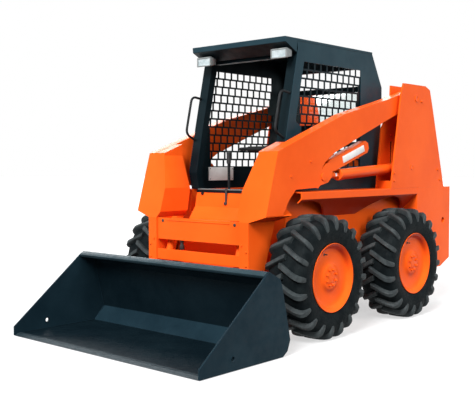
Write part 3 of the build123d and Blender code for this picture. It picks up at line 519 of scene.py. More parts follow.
right_half = [(-out, radius) for out, radius in reversed(HALF_CARCASS)]
carcass_mesh = as_mesh(turned(bmesh.new(), right_half[:-1] + HALF_CARCASS, steps=120))
bar_mesh = bpy.data.meshes.new("bars")
for side, first in ((1, FIRST_LUG), (-1, FIRST_LUG + math.pi / LUGS_A_ROW)):
    bar_mesh = ring(bar_mesh, lug(side), LUGS_A_ROW, first, worn_rubber)


def placed(mesh, move, mirror=False):
    """A copy of a mesh in its place, turned left for right where asked."""
    copy = mesh.copy()
    if mirror:
        copy.transform(Matrix.Scale(-1, 4, (1, 0, 0)))
        copy.flip_normals()
    copy.transform(Matrix.Translation(move))
    return copy


for wheel in ("front_left", "front_right", "rear_left", "rear_right"):
    body = "wheel_" + wheel
    centre = PLACE[body + "_spin"]
    right = centre.x < 0
    made = piece("tyre_carcass_" + wheel, placed(carcass_mesh, centre), rubber, body)
    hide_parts("tyre_" + wheel)
    piece("tread_bars_" + wheel, placed(bar_mesh, centre, right), worn_rubber, body,
          smooth=32)
    made = piece("dished_rim_" + wheel, placed(rim_mesh, centre, right), orange, body)
    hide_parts("rim_" + wheel)
    piece("valve_" + wheel, placed(valve_mesh, centre, right), valve_rubber, body)

# ---- Towers and lift arms
# Towers are folded plate boxes, the arms fabricated boxes between their two plates. The arms
# turn on large pins, each held by a plate and a bolt, and everything is sprayed orange.
dress(orange, "towers", "arm_left", "arm_right", "cross_member")
steel = coat("zinc_steel", (0.22, 0.22, 0.22), (0.36, 0.36, 0.35), (0.3, 0.5), clouds=30.0,
             grain=700.0, bump=0.1, Metallic=0.85)


def fixing_group():
    """A part on each given point, turned so that its Z axis follows the point's aim, with a
    random spin about it."""
    tree, given = group("fixings", ("Seed", "Int", 1))
    aim = add(tree, "GeometryNodeInputNamedAttribute", {"Name": "aim"}, data_type="FLOAT_VECTOR")
    facing = add(tree, "FunctionNodeAlignRotationToVector", {"Vector": aim.outputs[0]}, axis="Z")
    spin = add(tree, "FunctionNodeRandomValue", {2: 0.0, 3: 2 * math.pi, "Seed": given["Seed"]},
               data_type="FLOAT")
    about = add(tree, "ShaderNodeCombineXYZ", {"Z": spin.outputs[1]})
    turn = add(tree, "FunctionNodeRotateRotation",
               {"Rotation": facing.outputs[0], "Rotate By": about.outputs[0]},
               rotation_space="LOCAL")
    return close_group(tree, given,
                       copies_on(tree, given, given["Geometry"], Rotation=turn.outputs[0]))


fixings = fixing_group()


def bolt(size):
    """A hexagon head on a washer, standing on the XY plane."""
    shape = bmesh.new()
    turned(shape, [(-0.001, 0), (-0.001, size * 1.15), (size * 0.18, size * 1.12),
                   (size * 0.2, 0)], axis=(0, 0, 1), steps=16)
    return turned(shape, [(size * 0.1, 0), (size * 0.1, size), (size * 0.75, size),
                          (size * 0.85, size * 0.86), (size * 0.85, 0)], axis=(0, 0, 1), steps=6)


def bolts(name, seats, size, material, body, seed):
    """Bolt heads on seats given as (place, direction they face)."""
    points = bpy.data.meshes.new(name)
    points.from_pydata([place for place, _ in seats], [], [])
    aim = points.attributes.new("aim", "FLOAT_VECTOR", "POINT")
    for item, (_, direction) in zip(aim.data, seats):
        item.vector = direction
    piece(name, worked_out(points, fixings, bolt(size), material, Seed=seed), material, body)


def both_sides(*walls):
    """Bolt seats on walls given as (x, direction they face, places along and up), and their
    mirror images on the other side of the machine."""
    seats = [((x, y, z), facing) for x, facing, spots in walls for y, z in spots]
    return seats + [((-x, y, z), (-a, b, c)) for (x, y, z), (a, b, c) in seats]


pivot = PLACE["arm_lift"]
lift_base = PLACE["lift_cylinder_swing_left"]
tower_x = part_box("towers")[1].x
TOWER_INNER_X, SLOT_PLATE_X = 0.501, 0.513
PIN_CAP = [(-0.004, 0), (-0.004, 0.030), (0.003, 0.030), (0.0045, 0.0285), (0.0045, 0.012),
           (0.0035, 0.010), (0.0035, 0)]
shape = bmesh.new()
for side in (1, -1):
    for centre, size in ((pivot, 1.0), (lift_base, 0.75)):
        for wall, outwards in ((tower_x, side), (TOWER_INNER_X, -side)):
            turned(shape, [(out, radius * size) for out, radius in PIN_CAP],
                   origin=(side * wall, *centre.yz), axis=(outwards, 0, 0), steps=40)
piece("tower_pin_caps", shape, orange, "machine")
TOWER_BOLTS = [(pivot.y + 0.075, pivot.z - 0.02), (0.735, 1.045), (0.735, 1.105),
               (1.47, 1.045), (1.43, 1.13)]
SLOT_BOLTS = [(0.866, 1.147), (0.905, 1.40)]
bolts("tower_bolts", both_sides((tower_x, (1, 0, 0), TOWER_BOLTS),
                                (SLOT_PLATE_X, (1, 0, 0), SLOT_BOLTS)),
      0.009, orange, "machine", seed=3)

# A dark rubber sheet fills the hose slot in each tower's inner plate: painted shade, where the
# tower's shaded inside would show.
HOSE_SLOT = oblong(0.885, 0.945, 1.160, 1.370)
SHADE_SHEET_FACES = (0.4975, 0.5015)
shape = bmesh.new()
for side in (1, -1):
    slab(shape, HOSE_SLOT, *sorted(side * face for face in SHADE_SHEET_FACES), ease=0.001)
piece("slot_flaps", shape, valve_rubber, "machine")

# The arms have bolts at the knee and on the legs. The folded cross member has two plugged
# hose holes and a seam.
leg_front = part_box("arm_left")[0].y
OUTER_LEG_X, INNER_LEG_X, KNEE_X = 0.458, 0.420, 0.615
bolts("arm_bolts", both_sides(
    (OUTER_LEG_X, (0, -1, 0), [(leg_front, 0.598), (leg_front, 0.508)]),
    (INNER_LEG_X, (0, -1, 0), [(leg_front, 0.640)]),
    (KNEE_X, (1, 0, 0), [(-0.52, 1.09), (-0.30, 1.19)]),
), 0.008, orange, "lift_arms", seed=5)
plug = coat("dark_plug", (0.02, 0.016, 0.015), (0.035, 0.028, 0.026), (0.5, 0.7))
member_front = leg_front + 0.016
plug_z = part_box("cross_member")[1].z - 0.02
PLUG_X = 0.345
PLUG = [(-0.002, 0), (-0.002, 0.011), (0.003, 0.011), (0.005, 0.008), (0.005, 0)]
SEAM = oblong(-0.30, 0.30, 0.772, 0.778)
shape = bmesh.new()
for x in (-PLUG_X, PLUG_X):
    turned(shape, PLUG, origin=(x, member_front, plug_z), axis=(0, -1, 0), steps=24)
piece("cross_member_plugs", shape, plug, "lift_arms")
seam = slab(bmesh.new(), SEAM, member_front - 0.004, member_front + 0.002, along="y",
            ease=0.001)
piece("cross_member_seam", seam, orange, "lift_arms")

# A dark hose coupling hangs under the cross member, clamped to its lower flange.
COUPLING_FOOT = (-0.186, -0.742, 0.568)
COUPLING = [(0, 0), (0, 0.013), (0.006, 0.017), (0.030, 0.017), (0.034, 0.012),
            (0.050, 0.012), (0.054, 0.015), (0.066, 0.015), (0.070, 0.010), (0.070, 0)]
piece("hose_coupling",
      turned(bmesh.new(), COUPLING, origin=COUPLING_FOOT, axis=(0, 0, 1), steps=28), plug,
      "lift_arms")

# ---- Arm support
# A folded channel is stowed in the left arm, swung down over the rod to prop the arms for
# service. A plain white band is painted on its side.
dress(orange, "arm_support", edge=0.002)
plain_white = coat("plain_white", (0.76, 0.75, 0.72), (0.90, 0.89, 0.87), (0.35, 0.55),
                   clouds=12.0)
SUPPORT_PIVOT, SUPPORT_RUN = Vector((0, -0.086, 1.144)), Vector((0, 0.531, 0.169))
BAND_START, BAND_END, BAND_HALF = 0.20, 0.49, 0.024
support_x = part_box("arm_support")[1].x
along = SUPPORT_RUN.normalized()
over = Vector((0, -along.z, along.y))
band = [SUPPORT_PIVOT + along * a + over * b
        for a, b in oblong(BAND_START, BAND_END, -BAND_HALF, BAND_HALF)]
strip = slab(bmesh.new(), [corner.yz for corner in band], support_x - 0.003,
             support_x + 0.0012, ease=0.0004)
piece("support_band", strip, plain_white, "lift_arms")

# ---- Hydraulic cylinders
# Each barrel is a honed steel tube with a forged eye at its base and a gland nut at its nose,
# painted orange. The rods are ground and hard chromed, with a painted eye on the end.
chrome = coat("hard_chrome", (0.62, 0.63, 0.65), (0.74, 0.75, 0.77), (0.08, 0.2), clouds=40.0,
              grain=900.0, bump=0.02, Metallic=1.0)
CYLINDERS = {  # barrel and rod radius, nose to eye, stroke, half widths of both eyes, pin ends
    "lift": (0.040, 0.020, 0.232, 0.599, 0.034, 0.024, 0.0317),
    "tilt": (0.028, 0.015, 0.150, 0.213, 0.022, 0.018, 0.0257),
}
ROD_EYE = {"lift": (-0.153, 1.085), "tilt": (-0.7925, 0.2872)}    # along the machine and up
ROD_HOLD = 0.028         # what stays inside a barrel with its rod out
EYE_RADIUS, ROD_EYE_RADIUS = 0.036, 0.034
EYE_BORE, PIN_RADIUS, TILT_PIN_RADIUS = 0.0202, 0.020, 0.0194
ROD_NECK = [(0.030, 0), (0.030, 0.0235), (0.040, 0.0225), (0.180, 0.0225), (0.182, 0.0210),
            (0.182, 0)]


def spindle(start, end, radius, ease, bore=0):
    """The profile of a round bar or ring with eased rims."""
    return [(start, bore), (start, radius - ease), (start + ease, radius),
            (end - ease, radius), (end, radius - ease), (end, bore)]


for kind, (radius, rod_radius, nose, stroke, eye_half, rod_half, pin_half) in CYLINDERS.items():
    for side_name, side in (("left", 1), ("right", -1)):
        base = PLACE[f"{kind}_cylinder_swing_{side_name}"]
        eye = Vector((base.x, *ROD_EYE[kind]))
        axis = (eye - base).normalized()
        length = (eye - base).length
        gland = length - nose
        shape = bmesh.new()
        turned(shape, [
            (EYE_RADIUS - 0.008, 0), (EYE_RADIUS - 0.008, radius - 0.006),
            (EYE_RADIUS, radius - 0.001), (EYE_RADIUS + 0.004, radius),
            (gland - 0.032, radius), (gland - 0.030, radius + 0.003),
            (gland - 0.004, radius + 0.003), (gland, radius), (gland, rod_radius + 0.004),
            (gland - 0.002, rod_radius + 0.0006), (EYE_RADIUS + 0.010, rod_radius + 0.0006),
            (EYE_RADIUS + 0.010, 0)], origin=base, axis=axis, steps=40)
        if kind == "tilt":
            turned(shape, spindle(-0.050, 0.078, TILT_PIN_RADIUS, 0.001), origin=base,
                   axis=(side, 0, 0), steps=36)
        turned(shape, spindle(-eye_half, eye_half, EYE_RADIUS, 0.002, EYE_BORE), origin=base,
               steps=40)
        made = piece(f"{kind}_tube_{side_name}", shape, orange,
                     f"{kind}_barrel_{side_name}_body")
        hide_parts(f"{kind}_barrel_{side_name}")

        rod_body = f"{kind}_rod_{side_name}_body"
        rod_start, rod_end = gland - stroke - ROD_HOLD, length - 0.030
        shape = bmesh.new()
        turned(shape, [(rod_start, 0), (rod_start, rod_radius - 0.002),
                       (rod_start + 0.002, rod_radius), (rod_end, rod_radius), (rod_end, 0)],
               origin=base, axis=axis, steps=32)
        made = piece(f"{kind}_chromed_rod_{side_name}", shape, chrome, rod_body)
        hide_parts(f"{kind}_rod_{side_name}")
        shape = bmesh.new()
        turned(shape, spindle(-rod_half, rod_half, ROD_EYE_RADIUS, 0.002), origin=eye, steps=40)
        turned(shape, spindle(-pin_half, pin_half, PIN_RADIUS, 0.001), origin=eye, steps=36)
        if kind == "lift":
            turned(shape, ROD_NECK, origin=eye, axis=-axis, steps=32)
        piece(f"{kind}_rod_eye_{side_name}", shape, orange, rod_body)

# ---- Coupler
# The quick coupler is cut from thick orange plate, with toe ears round both legs. A round
# lever with a flattened end locks it, and turned collars cover its pins.
dress(orange, "coupler")
dark_steel = coat("dark_steel", (0.006, 0.008, 0.009), (0.014, 0.017, 0.019), (0.4, 0.6),
                  clouds=16.0, shine=0.15)
dress(dark_steel, "coupler_lever", edge=0)
toe, coupler_x = PLACE["bucket_tilt"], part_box("coupler")[1].x
COLLAR = [(-0.002, 0), (-0.002, 0.028), (0.004, 0.028), (0.006, 0.026), (0.006, 0.010),
          (0.004, 0.008), (0.004, 0)]
shape = bmesh.new()
for side in (1, -1):
    turned(shape, COLLAR, origin=(side * coupler_x, *toe.yz), axis=(side, 0, 0), steps=36)
piece("toe_pin_collars", shape, steel, "bucket_body")

# ---- Bucket
# The bucket is welded from wear plate and sprayed dark blue grey. Its floor ends in a ground steel
# edge, and the side plates and the back's top carry a lip; the lip on the back's top is painted
# lighter, as a painted highlight.
bucket_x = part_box("bucket")[1].x
BUCKET_PLATE = 0.012
inner = bucket_x - BUCKET_PLATE
FLOOR_END, HEEL_TOP = -0.980, 0.112
INSIDE_SHADE, HEEL_LIFT = (0.42, 0.42, 0.42), (2.6, 2.6, 2.6)
COOL_SHINE = (0.35, 0.60, 0.75, 1)
bucket_paint = coat("bucket_paint", (0.005, 0.014, 0.021), (0.009, 0.022, 0.031), (0.42, 0.6),
                    clouds=3.0, grain=340.0, bump=0.08, shine=0.13,
                    shine_tint=COOL_SHINE)
tree = bucket_paint.node_tree
inside = within(tree, along_machine(tree, "X"), inner - 0.001)
low_down = within(tree, along_machine(tree, "Z"), HEEL_TOP)
far_back = within(tree, along_machine(tree, "Y"), -FLOOR_END)
heel_band = reckon(tree, "MULTIPLY", reckon(tree, "MULTIPLY", low_down, far_back), inside)
# Painted shade: the floor, back and top between the side plates are painted darker. A band low at
# the back, the heel, is made 2.6 times lighter, which lifts that shade there.
tint(bucket_paint, inside, INSIDE_SHADE)
tint(bucket_paint, heel_band, HEEL_LIFT)
dress(bucket_paint, "bucket", edge=0.004)
edge_steel = coat("ground_edge", (0.010, 0.020, 0.026), (0.022, 0.036, 0.044), (0.35, 0.55),
                  clouds=20.0, grain=300.0, bump=0.15, shine=0.2)
dress(edge_steel, "cutting_edge", edge=0.001)
lip_painted_highlight = coat("lip_painted_highlight", (0.016, 0.032, 0.040), (0.026, 0.046, 0.056), (0.35, 0.55),
                 clouds=6.0, shine=0.2, shine_tint=COOL_SHINE)
LIP = [(-1.0995, 0.494), (-1.0715, 0.5335), (-1.0775, 0.5380), (-1.1145, 0.5150)]
piece("bucket_top_lip", slab(bmesh.new(), LIP, -inner, inner, ease=0.002), lip_painted_highlight,
      "bucket_body")
WELD_ROUTE = [(-1.600, 0.015), (-0.980, 0.015), (-0.886, 0.108), (-0.962, 0.426),
              (-0.980, 0.467)]
WELD_RADIUS = 0.005
LASHING_HOLE = (-1.400, 0.074)
HOLE_RIM = [(-0.0135, 0.0150), (-0.0135, 0.021), (0.0008, 0.021), (0.0015, 0.0200),
            (0.0015, 0.0150)]
welds, rims = bmesh.new(), bmesh.new()
for side in (1, -1):
    corners = [Vector((side * inner, *spot)) for spot in WELD_ROUTE]
    for start, end in zip(corners, corners[1:]):
        run = (end - start).length
        turned(welds, [(0, 0), (0, WELD_RADIUS), (run, WELD_RADIUS), (run, 0)], origin=start,
               axis=end - start, steps=8)
    turned(rims, HOLE_RIM, origin=(side * bucket_x, *LASHING_HOLE), axis=(side, 0, 0), steps=40)
piece("bucket_welds", welds, bucket_paint, "bucket_body")
piece("lashing_hole_rims", rims, bucket_paint, "bucket_body")

# ---- Cab
# The cab is a welded tube and sheet frame with punched side screens, sprayed dark blue grey.
# Its inside and the roof's underside are painted darker than its sides, as painted shade, and the
# roof sheet runs out into a visor.
CAB_COLOURS = (0.013, 0.034, 0.047), (0.021, 0.048, 0.063), (0.32, 0.48)
CAB_LOOK = {"clouds": 2.6, "grain": 300.0, "bump": 0.06, "shine": 0.16,
            "shine_tint": (0.35, 0.65, 0.75, 1)}
shell_paint = coat("cab_shell", *CAB_COLOURS, **CAB_LOOK)
tree = shell_paint.node_tree
CAB_SHADE = (0.2, 0.2, 0.2)      # painted shade: darker inside the cab and under the roof
cab_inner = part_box("cab_frame")[1].x - 0.0018
tint(shell_paint, within(tree, along_machine(tree, "X"), cab_inner), CAB_SHADE)
dress(shell_paint, "cab_frame")
dress(shell_paint, "side_screens", edge=0)
roof_paint = coat("cab_roof", *CAB_COLOURS, **CAB_LOOK)
tint(roof_paint, facing_down(roof_paint.node_tree, -0.2, -0.4), CAB_SHADE)
dress(roof_paint, "cab_roof")
cab_paint = coat("dark_sheet", (0.012, 0.026, 0.033), (0.018, 0.036, 0.045), (0.35, 0.5),
                 clouds=4.0, shine=0.2, shine_tint=COOL_SHINE)
floor_rubber = coat("floor_rubber", (0.010, 0.012, 0.013), (0.020, 0.022, 0.023), (0.6, 0.85),
                    clouds=20.0, grain=240.0, bump=0.5, shine=0.2)
dress(floor_rubber, "cab_floor", edge=0.002)
glass = coat("safety_glass", (0.80, 0.88, 0.87), (0.86, 0.92, 0.91), (0.02, 0.05), clouds=3.0,
             bump=0.01, Transmission_Weight=1.0, IOR=1.45)
dress(glass, "rear_window", edge=0.001)

# A folded tread strip covers the sill, and a plain white plate is riveted to the cab's wall
# low on the right, where the operator's notes would hang.
sill_steel = coat("sill_steel", (0.10, 0.13, 0.13), (0.17, 0.20, 0.20), (0.4, 0.6), clouds=18.0)
SILL_Y, SILL_HALF, SILL_TOP = -0.409, 0.018, 0.991
TREADS, TREAD_PITCH = 40, 0.016
first_tread = (-TREAD_PITCH * (TREADS - 1) / 2, SILL_Y, SILL_TOP)
strip = slab(bmesh.new(), oblong(SILL_Y - SILL_HALF, SILL_Y + SILL_HALF, SILL_TOP - 0.007,
                                 SILL_TOP), -0.335, 0.335, ease=0.0015)
piece("sill_strip", strip, sill_steel, "machine")
tread = slab(bmesh.new(), oblong(-0.003, 0.003, -0.011, 0.011), 0, 0.002, along="z",
             ease=0.0006)
piece("sill_treads", row(tread, TREADS, first_tread, (TREAD_PITCH, 0, 0), sill_steel),
      sill_steel, "machine")
PLATE_FACE = -0.428
PLATE_Y, PLATE_Z = (-0.207, 0.072), (1.047, 1.151)
RIVET_INSET = 0.012
plate = slab(bmesh.new(), oblong(*PLATE_Y, *PLATE_Z), PLATE_FACE - 0.011, PLATE_FACE,
             ease=0.0006)
piece("blank_plate", plate, plain_white, "machine")
bolts("plate_rivets", [((PLATE_FACE, y, z), (1, 0, 0))
                       for y in (PLATE_Y[0] + RIVET_INSET, PLATE_Y[1] - RIVET_INSET)
                       for z in (PLATE_Z[0] + RIVET_INSET, PLATE_Z[1] - RIVET_INSET)],
      0.004, steel, "machine", seed=7)

# The cab is hinged for service: a black latch bar with a round foot locks it on the front
# panel, between two bolts.
LATCH_BAR = oblong(-0.054, -0.036, 0.884, 1.000)
LATCH_PLACE = (-0.045, -0.434, 0.888)
LATCH_FOOT = [(0, 0), (0, 0.013), (0.012, 0.013), (0.014, 0.010), (0.014, 0)]
latch = slab(bmesh.new(), LATCH_BAR, -0.438, -0.429, along="y", ease=0.002)
turned(latch, LATCH_FOOT, origin=LATCH_PLACE, axis=(0, -1, 0), steps=24)
piece("cab_latch", latch, plug, "machine")
bolts("sill_bolts", [((x, -0.4245, 0.955), (0, -1, 0.2)) for x in (-0.29, 0.29)], 0.011,
      dark_steel, "machine", seed=9)

# ---- Grab handles and seat bar
# Handles and seat bar are bent from round tube, the handles painted dark and welded to the
# front posts. The bar swings up on two bosses and wears a foam sleeve across the lap.


def rounded(points, bend, cuts=6):
    """The route with each corner turned into an arc-like run of short cuts."""
    points = [Vector(point) for point in points]
    route = [points[0]]
    for before, corner, after in zip(points, points[1:], points[2:]):
        start = corner + (before - corner).normalized() * bend
        end = corner + (after - corner).normalized() * bend
        for i in range(cuts + 1):
            share = i / cuts
            route.append((1 - share) ** 2 * start + 2 * share * (1 - share) * corner
                         + share ** 2 * end)
    return route + [points[-1]]


def tube(shape, route, radius, steps=16):
    """Adds a round tube along a route, its ends closed."""
    side = None
    rings = []
    for i, point in enumerate(route):
        ahead = (route[min(i + 1, len(route) - 1)] - route[max(i - 1, 0)]).normalized()
        side = (side or ahead.orthogonal())
        side = (side - ahead * side.dot(ahead)).normalized()
        rings.append([shape.verts.new(point + spoke * radius)
                      for spoke in spokes(side, ahead.cross(side), steps)])
    skin(shape, rings)
    return shape


HANDLE_X, HANDLE_BEND, HANDLE_RADIUS = 0.426, 0.045, 0.009
HANDLE_ROUTE = [(-0.270, 1.666), (-0.397, 1.684), (-0.461, 1.400), (-0.340, 1.345)]
shape = bmesh.new()
for side in (1, -1):
    route = [(side * HANDLE_X, y, z) for y, z in HANDLE_ROUTE]
    tube(shape, rounded(route, HANDLE_BEND), HANDLE_RADIUS)
made = piece("bent_handles", shape, dark_steel, "machine")
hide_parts("grab_handles")

bar_pivot = PLACE["seat_bar_raise"]
bar_low, bar_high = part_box("seat_bar")
BAR_HALF, LAP_Y, LAP_Z = 0.320, 0.007, 1.290
BAR_BEND, BAR_RADIUS = 0.060, 0.0135
bar_route = [(bar_high.x, *bar_pivot.yz), (BAR_HALF, *bar_pivot.yz), (BAR_HALF, LAP_Y, LAP_Z),
             (-BAR_HALF, LAP_Y, LAP_Z), (-BAR_HALF, *bar_pivot.yz), (bar_low.x, *bar_pivot.yz)]
shape = bmesh.new()
tube(shape, rounded(bar_route, BAR_BEND), BAR_RADIUS)
for side in (1, -1):
    turned(shape, spindle(0, 0.028, 0.018, 0.001), origin=(side * bar_high.x, *bar_pivot.yz),
           axis=(-side, 0, 0), steps=32)
made = piece("bent_seat_bar", shape, dark_steel, "restraint")
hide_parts("seat_bar")
foam = coat("foam_sleeve", (0.010, 0.011, 0.012), (0.018, 0.019, 0.020), (0.75, 0.95),
            clouds=30.0, grain=600.0, bump=0.6, shine=0.15)
SLEEVE = [(0, 0.0130), (0, 0.019), (0.003, 0.0215), (0.417, 0.0215), (0.420, 0.019),
          (0.420, 0.0130)]
piece("bar_sleeve", turned(bmesh.new(), SLEEVE, origin=(-0.210, LAP_Y, LAP_Z), steps=32), foam,
      "restraint")

# ---- Seat
# The seat pan and back are foam in stretched black vinyl, blown up by its filling so that the
# faces crown and the sides pull in, with sewn channels across. A steel box carries them.
dress(cab_paint, "seat_base", edge=0.006)
vinyl = coat("seat_vinyl", (0.010, 0.011, 0.012), (0.019, 0.020, 0.021), (0.42, 0.6),
             clouds=12.0, grain=900.0, bump=0.35, shine=0.35)
VOXEL = 0.006
SLACK, SWELL = 0.012, 0.022      # how much smaller the cover starts, and how far it may move
CHANNEL = 0.007                  # depth and half width of a sewn channel
SWELL_FRAMES = 20


def stuffed(low, high, channels, across, face):
    """A pad of foam in a sewn cover: swollen by pressure, then drawn in along its channels.
    Channels run along X at places on one axis, and draw in the face on the other."""
    shape = bmesh.new()
    bmesh.ops.create_cube(shape, size=1.0)
    size = high - low
    middle = (high + low) / 2
    for vert in shape.verts:
        vert.co = Vector([middle[k] + vert.co[k] * (size[k] - 2 * SLACK) for k in range(3)])
    bmesh.ops.bevel(shape, geom=list(shape.edges), offset=0.022, segments=4, profile=0.5,
                    affect="EDGES")
    pad = held(as_mesh(shape))
    remesh = pad.modifiers.new("remesh", "REMESH")
    remesh.mode = "VOXEL"
    remesh.voxel_size = VOXEL
    fine = evaluated(pad)
    pad.modifiers.clear()
    pad.data = fine
    start = [vert.co.copy() for vert in fine.vertices]
    places = start
    cloth = pad.modifiers.new("cloth", "CLOTH")
    cloth.settings.use_pressure = True
    cloth.settings.uniform_pressure_force = 4
    cloth.settings.effector_weights.gravity = 0
    cloth.settings.quality = 4
    for step in range(1, SWELL_FRAMES + 1):
        scene.frame_set(step)
    places = [vert.co.copy() for vert in evaluated(pad).vertices]
    pad.modifiers.clear()
    scene.frame_set(1)
    for vert, old, new in zip(pad.data.vertices, start, places):
        move = new - old
        if move.length > SWELL:
            move *= SWELL / move.length
        spot = old + move
        for place in channels:
            depth = CHANNEL * math.exp(-((spot[across] - place) / CHANNEL) ** 2)
            side = 1 if spot[face] > middle[face] else -1
            spot[face] -= side * depth * min(1, abs(spot[face] - middle[face]) / 0.02)
        vert.co = Vector([min(max(spot[k], low[k]), high[k]) for k in range(3)])
    smooth = pad.modifiers.new("smooth", "SUBSURF")
    smooth.levels = smooth.render_levels = 1
    mesh = evaluated(pad)
    bpy.data.objects.remove(pad)
    return mesh


for node, channels, across, face in (("seat_cushion", (0.20, 0.31, 0.42), 1, 2),
                                     ("seat_back", (1.17, 1.26, 1.35), 2, 1)):
    made = piece("stuffed_" + node, stuffed(*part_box(node), channels, across, face), vinyl,
                 "machine", 60)
    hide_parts(node)

# ---- Control levers
# Two levers of dark painted steel rod rise from the floor in rubber boots. Each wears a
# ribbed moulded grip, pushed on its end.
grip = coat("moulded_grip", (0.010, 0.011, 0.012), (0.020, 0.021, 0.022), (0.5, 0.7),
            clouds=25.0, grain=500.0, bump=0.3)
LEVER_X, LEVER_RADIUS = 0.200, 0.0105
lever_foot, lever_top = (-0.223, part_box("control_levers")[0].z), (-0.233, 1.180)
shape = bmesh.new()
for side in (1, -1):
    tube(shape, [Vector((side * LEVER_X, *end)) for end in (lever_foot, lever_top)],
         LEVER_RADIUS)
made = piece("steel_levers", shape, dark_steel, "machine")
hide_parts("control_levers")
GRIP_RIBS, GRIP_PITCH = 7, 0.010
GRIP = [(-0.004, 0), (-0.004, 0.013), (0.002, 0.016)]
for i in range(GRIP_RIBS):
    GRIP += [(out + i * GRIP_PITCH, radius)
             for out, radius in ((0.006, 0.0175), (0.009, 0.0152), (0.012, 0.0175))]
GRIP += [(0.078, 0.0185), (0.085, 0.0165), (0.089, 0.010), (0.0898, 0)]
BOOT = [(0, 0), (0, 0.048), (0.006, 0.048), (0.012, 0.040), (0.018, 0.043), (0.026, 0.031),
        (0.032, 0.034), (0.040, 0.023), (0.046, 0.025), (0.056, 0.0125), (0.056, 0)]
for name, profile, foot in (("lever_grips", GRIP, lever_top), ("lever_boots", BOOT, lever_foot)):
    shape = bmesh.new()
    for side in (1, -1):
        turned(shape, profile, origin=(side * LEVER_X, *foot), axis=(0, 0, 1), steps=28)
    piece(name, shape, grip, "machine")

# ---- Work lamps
# Two square lamps hang under the visor: a pressed housing, a bright frame and a ribbed lens. No
# silvered bowl is built behind it: the lens is painted light grey, as a painted reflection of one.
lamp_low, lamp_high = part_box("work_lamps")
LAMP_X = (0.290, 0.430)
FRAME = 0.009
lens_painted_reflection = coat("lens_painted_reflection", (0.42, 0.50, 0.52), (0.62, 0.69, 0.71), (0.12, 0.25), clouds=26.0,
                  grain=160.0, bump=0.1, Coat_Weight=0.5)
housing = coat("lamp_housing", (0.20, 0.22, 0.22), (0.30, 0.32, 0.32), (0.4, 0.6), clouds=20.0)
lens_top = lamp_high.z - 0.022
shape = bmesh.new()
for side in (1, -1):
    ends = sorted((side * LAMP_X[0], side * LAMP_X[1]))
    slab(shape, [(lamp_low.y + 0.006, lamp_low.z), (lamp_high.y, lamp_low.z + 0.014),
                 (lamp_high.y, lamp_high.z - 0.032), (lamp_low.y + 0.006, lens_top + 0.004)],
         *ends, ease=0.005)
    for bar in ((*ends, lamp_low.z, lamp_low.z + FRAME), (*ends, lens_top - FRAME, lens_top),
                (ends[0], ends[0] + FRAME, lamp_low.z, lens_top),
                (ends[1] - FRAME, ends[1], lamp_low.z, lens_top)):
        slab(shape, oblong(*bar), lamp_low.y - 0.001, lamp_low.y + 0.010, along="y",
             ease=0.0025)
made = piece("lamp_housings", shape, housing, "machine")
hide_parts("work_lamps")
LENS_RIBS = 14
rib_pitch = (LAMP_X[1] - LAMP_X[0] - 2 * FRAME) / LENS_RIBS
RIB_DEPTH, RIB_CUTS = 0.003, 6
wave = [(rib_pitch * i / RIB_CUTS,
         lamp_low.y + 0.005 - RIB_DEPTH * math.sin(math.pi * i / RIB_CUTS))
        for i in range(RIB_CUTS + 1)]
wave += [(rib_pitch, lamp_low.y + 0.008), (0, lamp_low.y + 0.008)]
for name, start in (("lamp_lens_left", LAMP_X[0]), ("lamp_lens_right", -LAMP_X[1])):
    rib = slab(bmesh.new(), wave, lamp_low.z + FRAME, lens_top - FRAME, along="z")
    ribs = row(rib, LENS_RIBS, (start + FRAME, 0, 0), (rib_pitch, 0, 0), lens_painted_reflection)
    piece(name, ribs, lens_painted_reflection, "machine")

# ---- Rear
# Hood and door are pressed sheet in orange, and two rubber pulls hold the hood shut. The door
# carries a louvred grille, a bent pull and hinge and frame bolts. Red lamps stand beside it.
dress(orange, "engine_hood", "rear_door")
hood_end, door_end = (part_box(name)[1].y for name in ("engine_hood", "rear_door"))
grille_low, grille_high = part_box("rear_grille")
SLATS = 15
slat_pitch = (grille_high.z - grille_low.z - 0.030) / (SLATS - 1)
first_slat = (0, grille_low.y - 0.004, grille_low.z + 0.022)
SLAT = [(-0.003, 0.0), (0.0005, 0.0035), (0.014, -0.012), (0.0105, -0.0155)]
slat = slab(bmesh.new(), SLAT, grille_low.x + 0.012, grille_high.x - 0.012, ease=0.0008)
slats = row(slat, SLATS, first_slat, (0, 0, slat_pitch), cab_paint)
made = piece("grille_slats", slats, cab_paint, "tailgate")
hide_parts("rear_grille")
RAIL, STILE = 0.014, 0.016
RAIL_STAND, STILE_STAND = 0.006, 0.0045
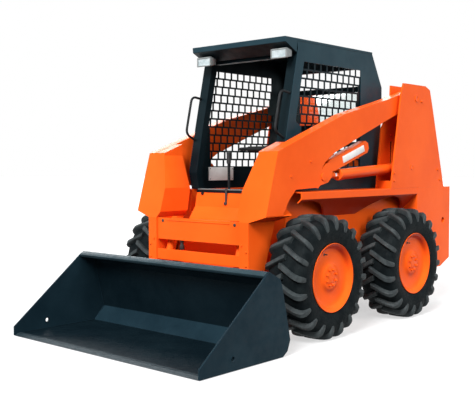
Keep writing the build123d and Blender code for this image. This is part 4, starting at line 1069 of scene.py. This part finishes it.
rails = [(grille_low.x, grille_high.x, low_z, low_z + RAIL, RAIL_STAND)
         for low_z in (grille_low.z, grille_high.z - RAIL)]
stiles = [(low_x, low_x + STILE, grille_low.z, grille_high.z, STILE_STAND)
          for low_x in (grille_low.x, grille_high.x - STILE, -STILE / 2)]
shape = bmesh.new()
for *bar, stand in rails + stiles:
    slab(shape, oblong(*bar), grille_low.y - stand, grille_high.y + stand, along="y",
         ease=0.0015)
piece("grille_frame", shape, cab_paint, "tailgate")
PULL_X, PULL_TOP, PULL_FOOT = 0.425, 0.86, 0.72
pull_in, pull_out = door_end - 0.004, door_end + 0.034
pull_route = rounded([(PULL_X, pull_in, PULL_TOP), (PULL_X, pull_out, PULL_TOP),
                      (PULL_X, pull_out, PULL_FOOT), (PULL_X, pull_in, PULL_FOOT)], 0.018)
piece("door_pull", tube(bmesh.new(), pull_route, 0.007), dark_steel, "tailgate")
bolts("door_bolts", [((x, door_end, z), (0, 1, 0)) for x in (-0.44, 0.44)
                     for z in (0.50, 0.58, 1.02, 1.10)], 0.009, orange, "tailgate",
      seed=11)
shape = bmesh.new()
for x in (-0.30, 0.30):
    slab(shape, oblong(x - 0.016, x + 0.016, 1.150, 1.166), hood_end - 0.02, hood_end + 0.007,
         along="y", ease=0.003)
piece("hood_pulls", shape, plug, "hood")
red_lens = coat("red_lens", (0.40, 0.006, 0.005), (0.56, 0.012, 0.009), (0.12, 0.25),
                clouds=20.0, Coat_Weight=0.05, shine=0.2)
dress(red_lens, "tail_lamps", edge=0.003)
TAIL_RIB = [(0, 0), (0, 0.0032), (0.056, 0.0032), (0.056, 0)]
TAIL_RIBS, TAIL_RIB_PITCH, TAIL_RIB_X = 6, 0.0112, 0.547
tail_low, tail_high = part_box("tail_lamps")
shape = bmesh.new()
for side in (1, -1):
    for i in range(TAIL_RIBS):
        z = tail_low.z + 0.012 + i * TAIL_RIB_PITCH
        turned(shape, TAIL_RIB, origin=(side * TAIL_RIB_X, tail_high.y, z), axis=(side, 0, 0),
               steps=10)
piece("tail_lens_ribs", shape, red_lens, "machine")
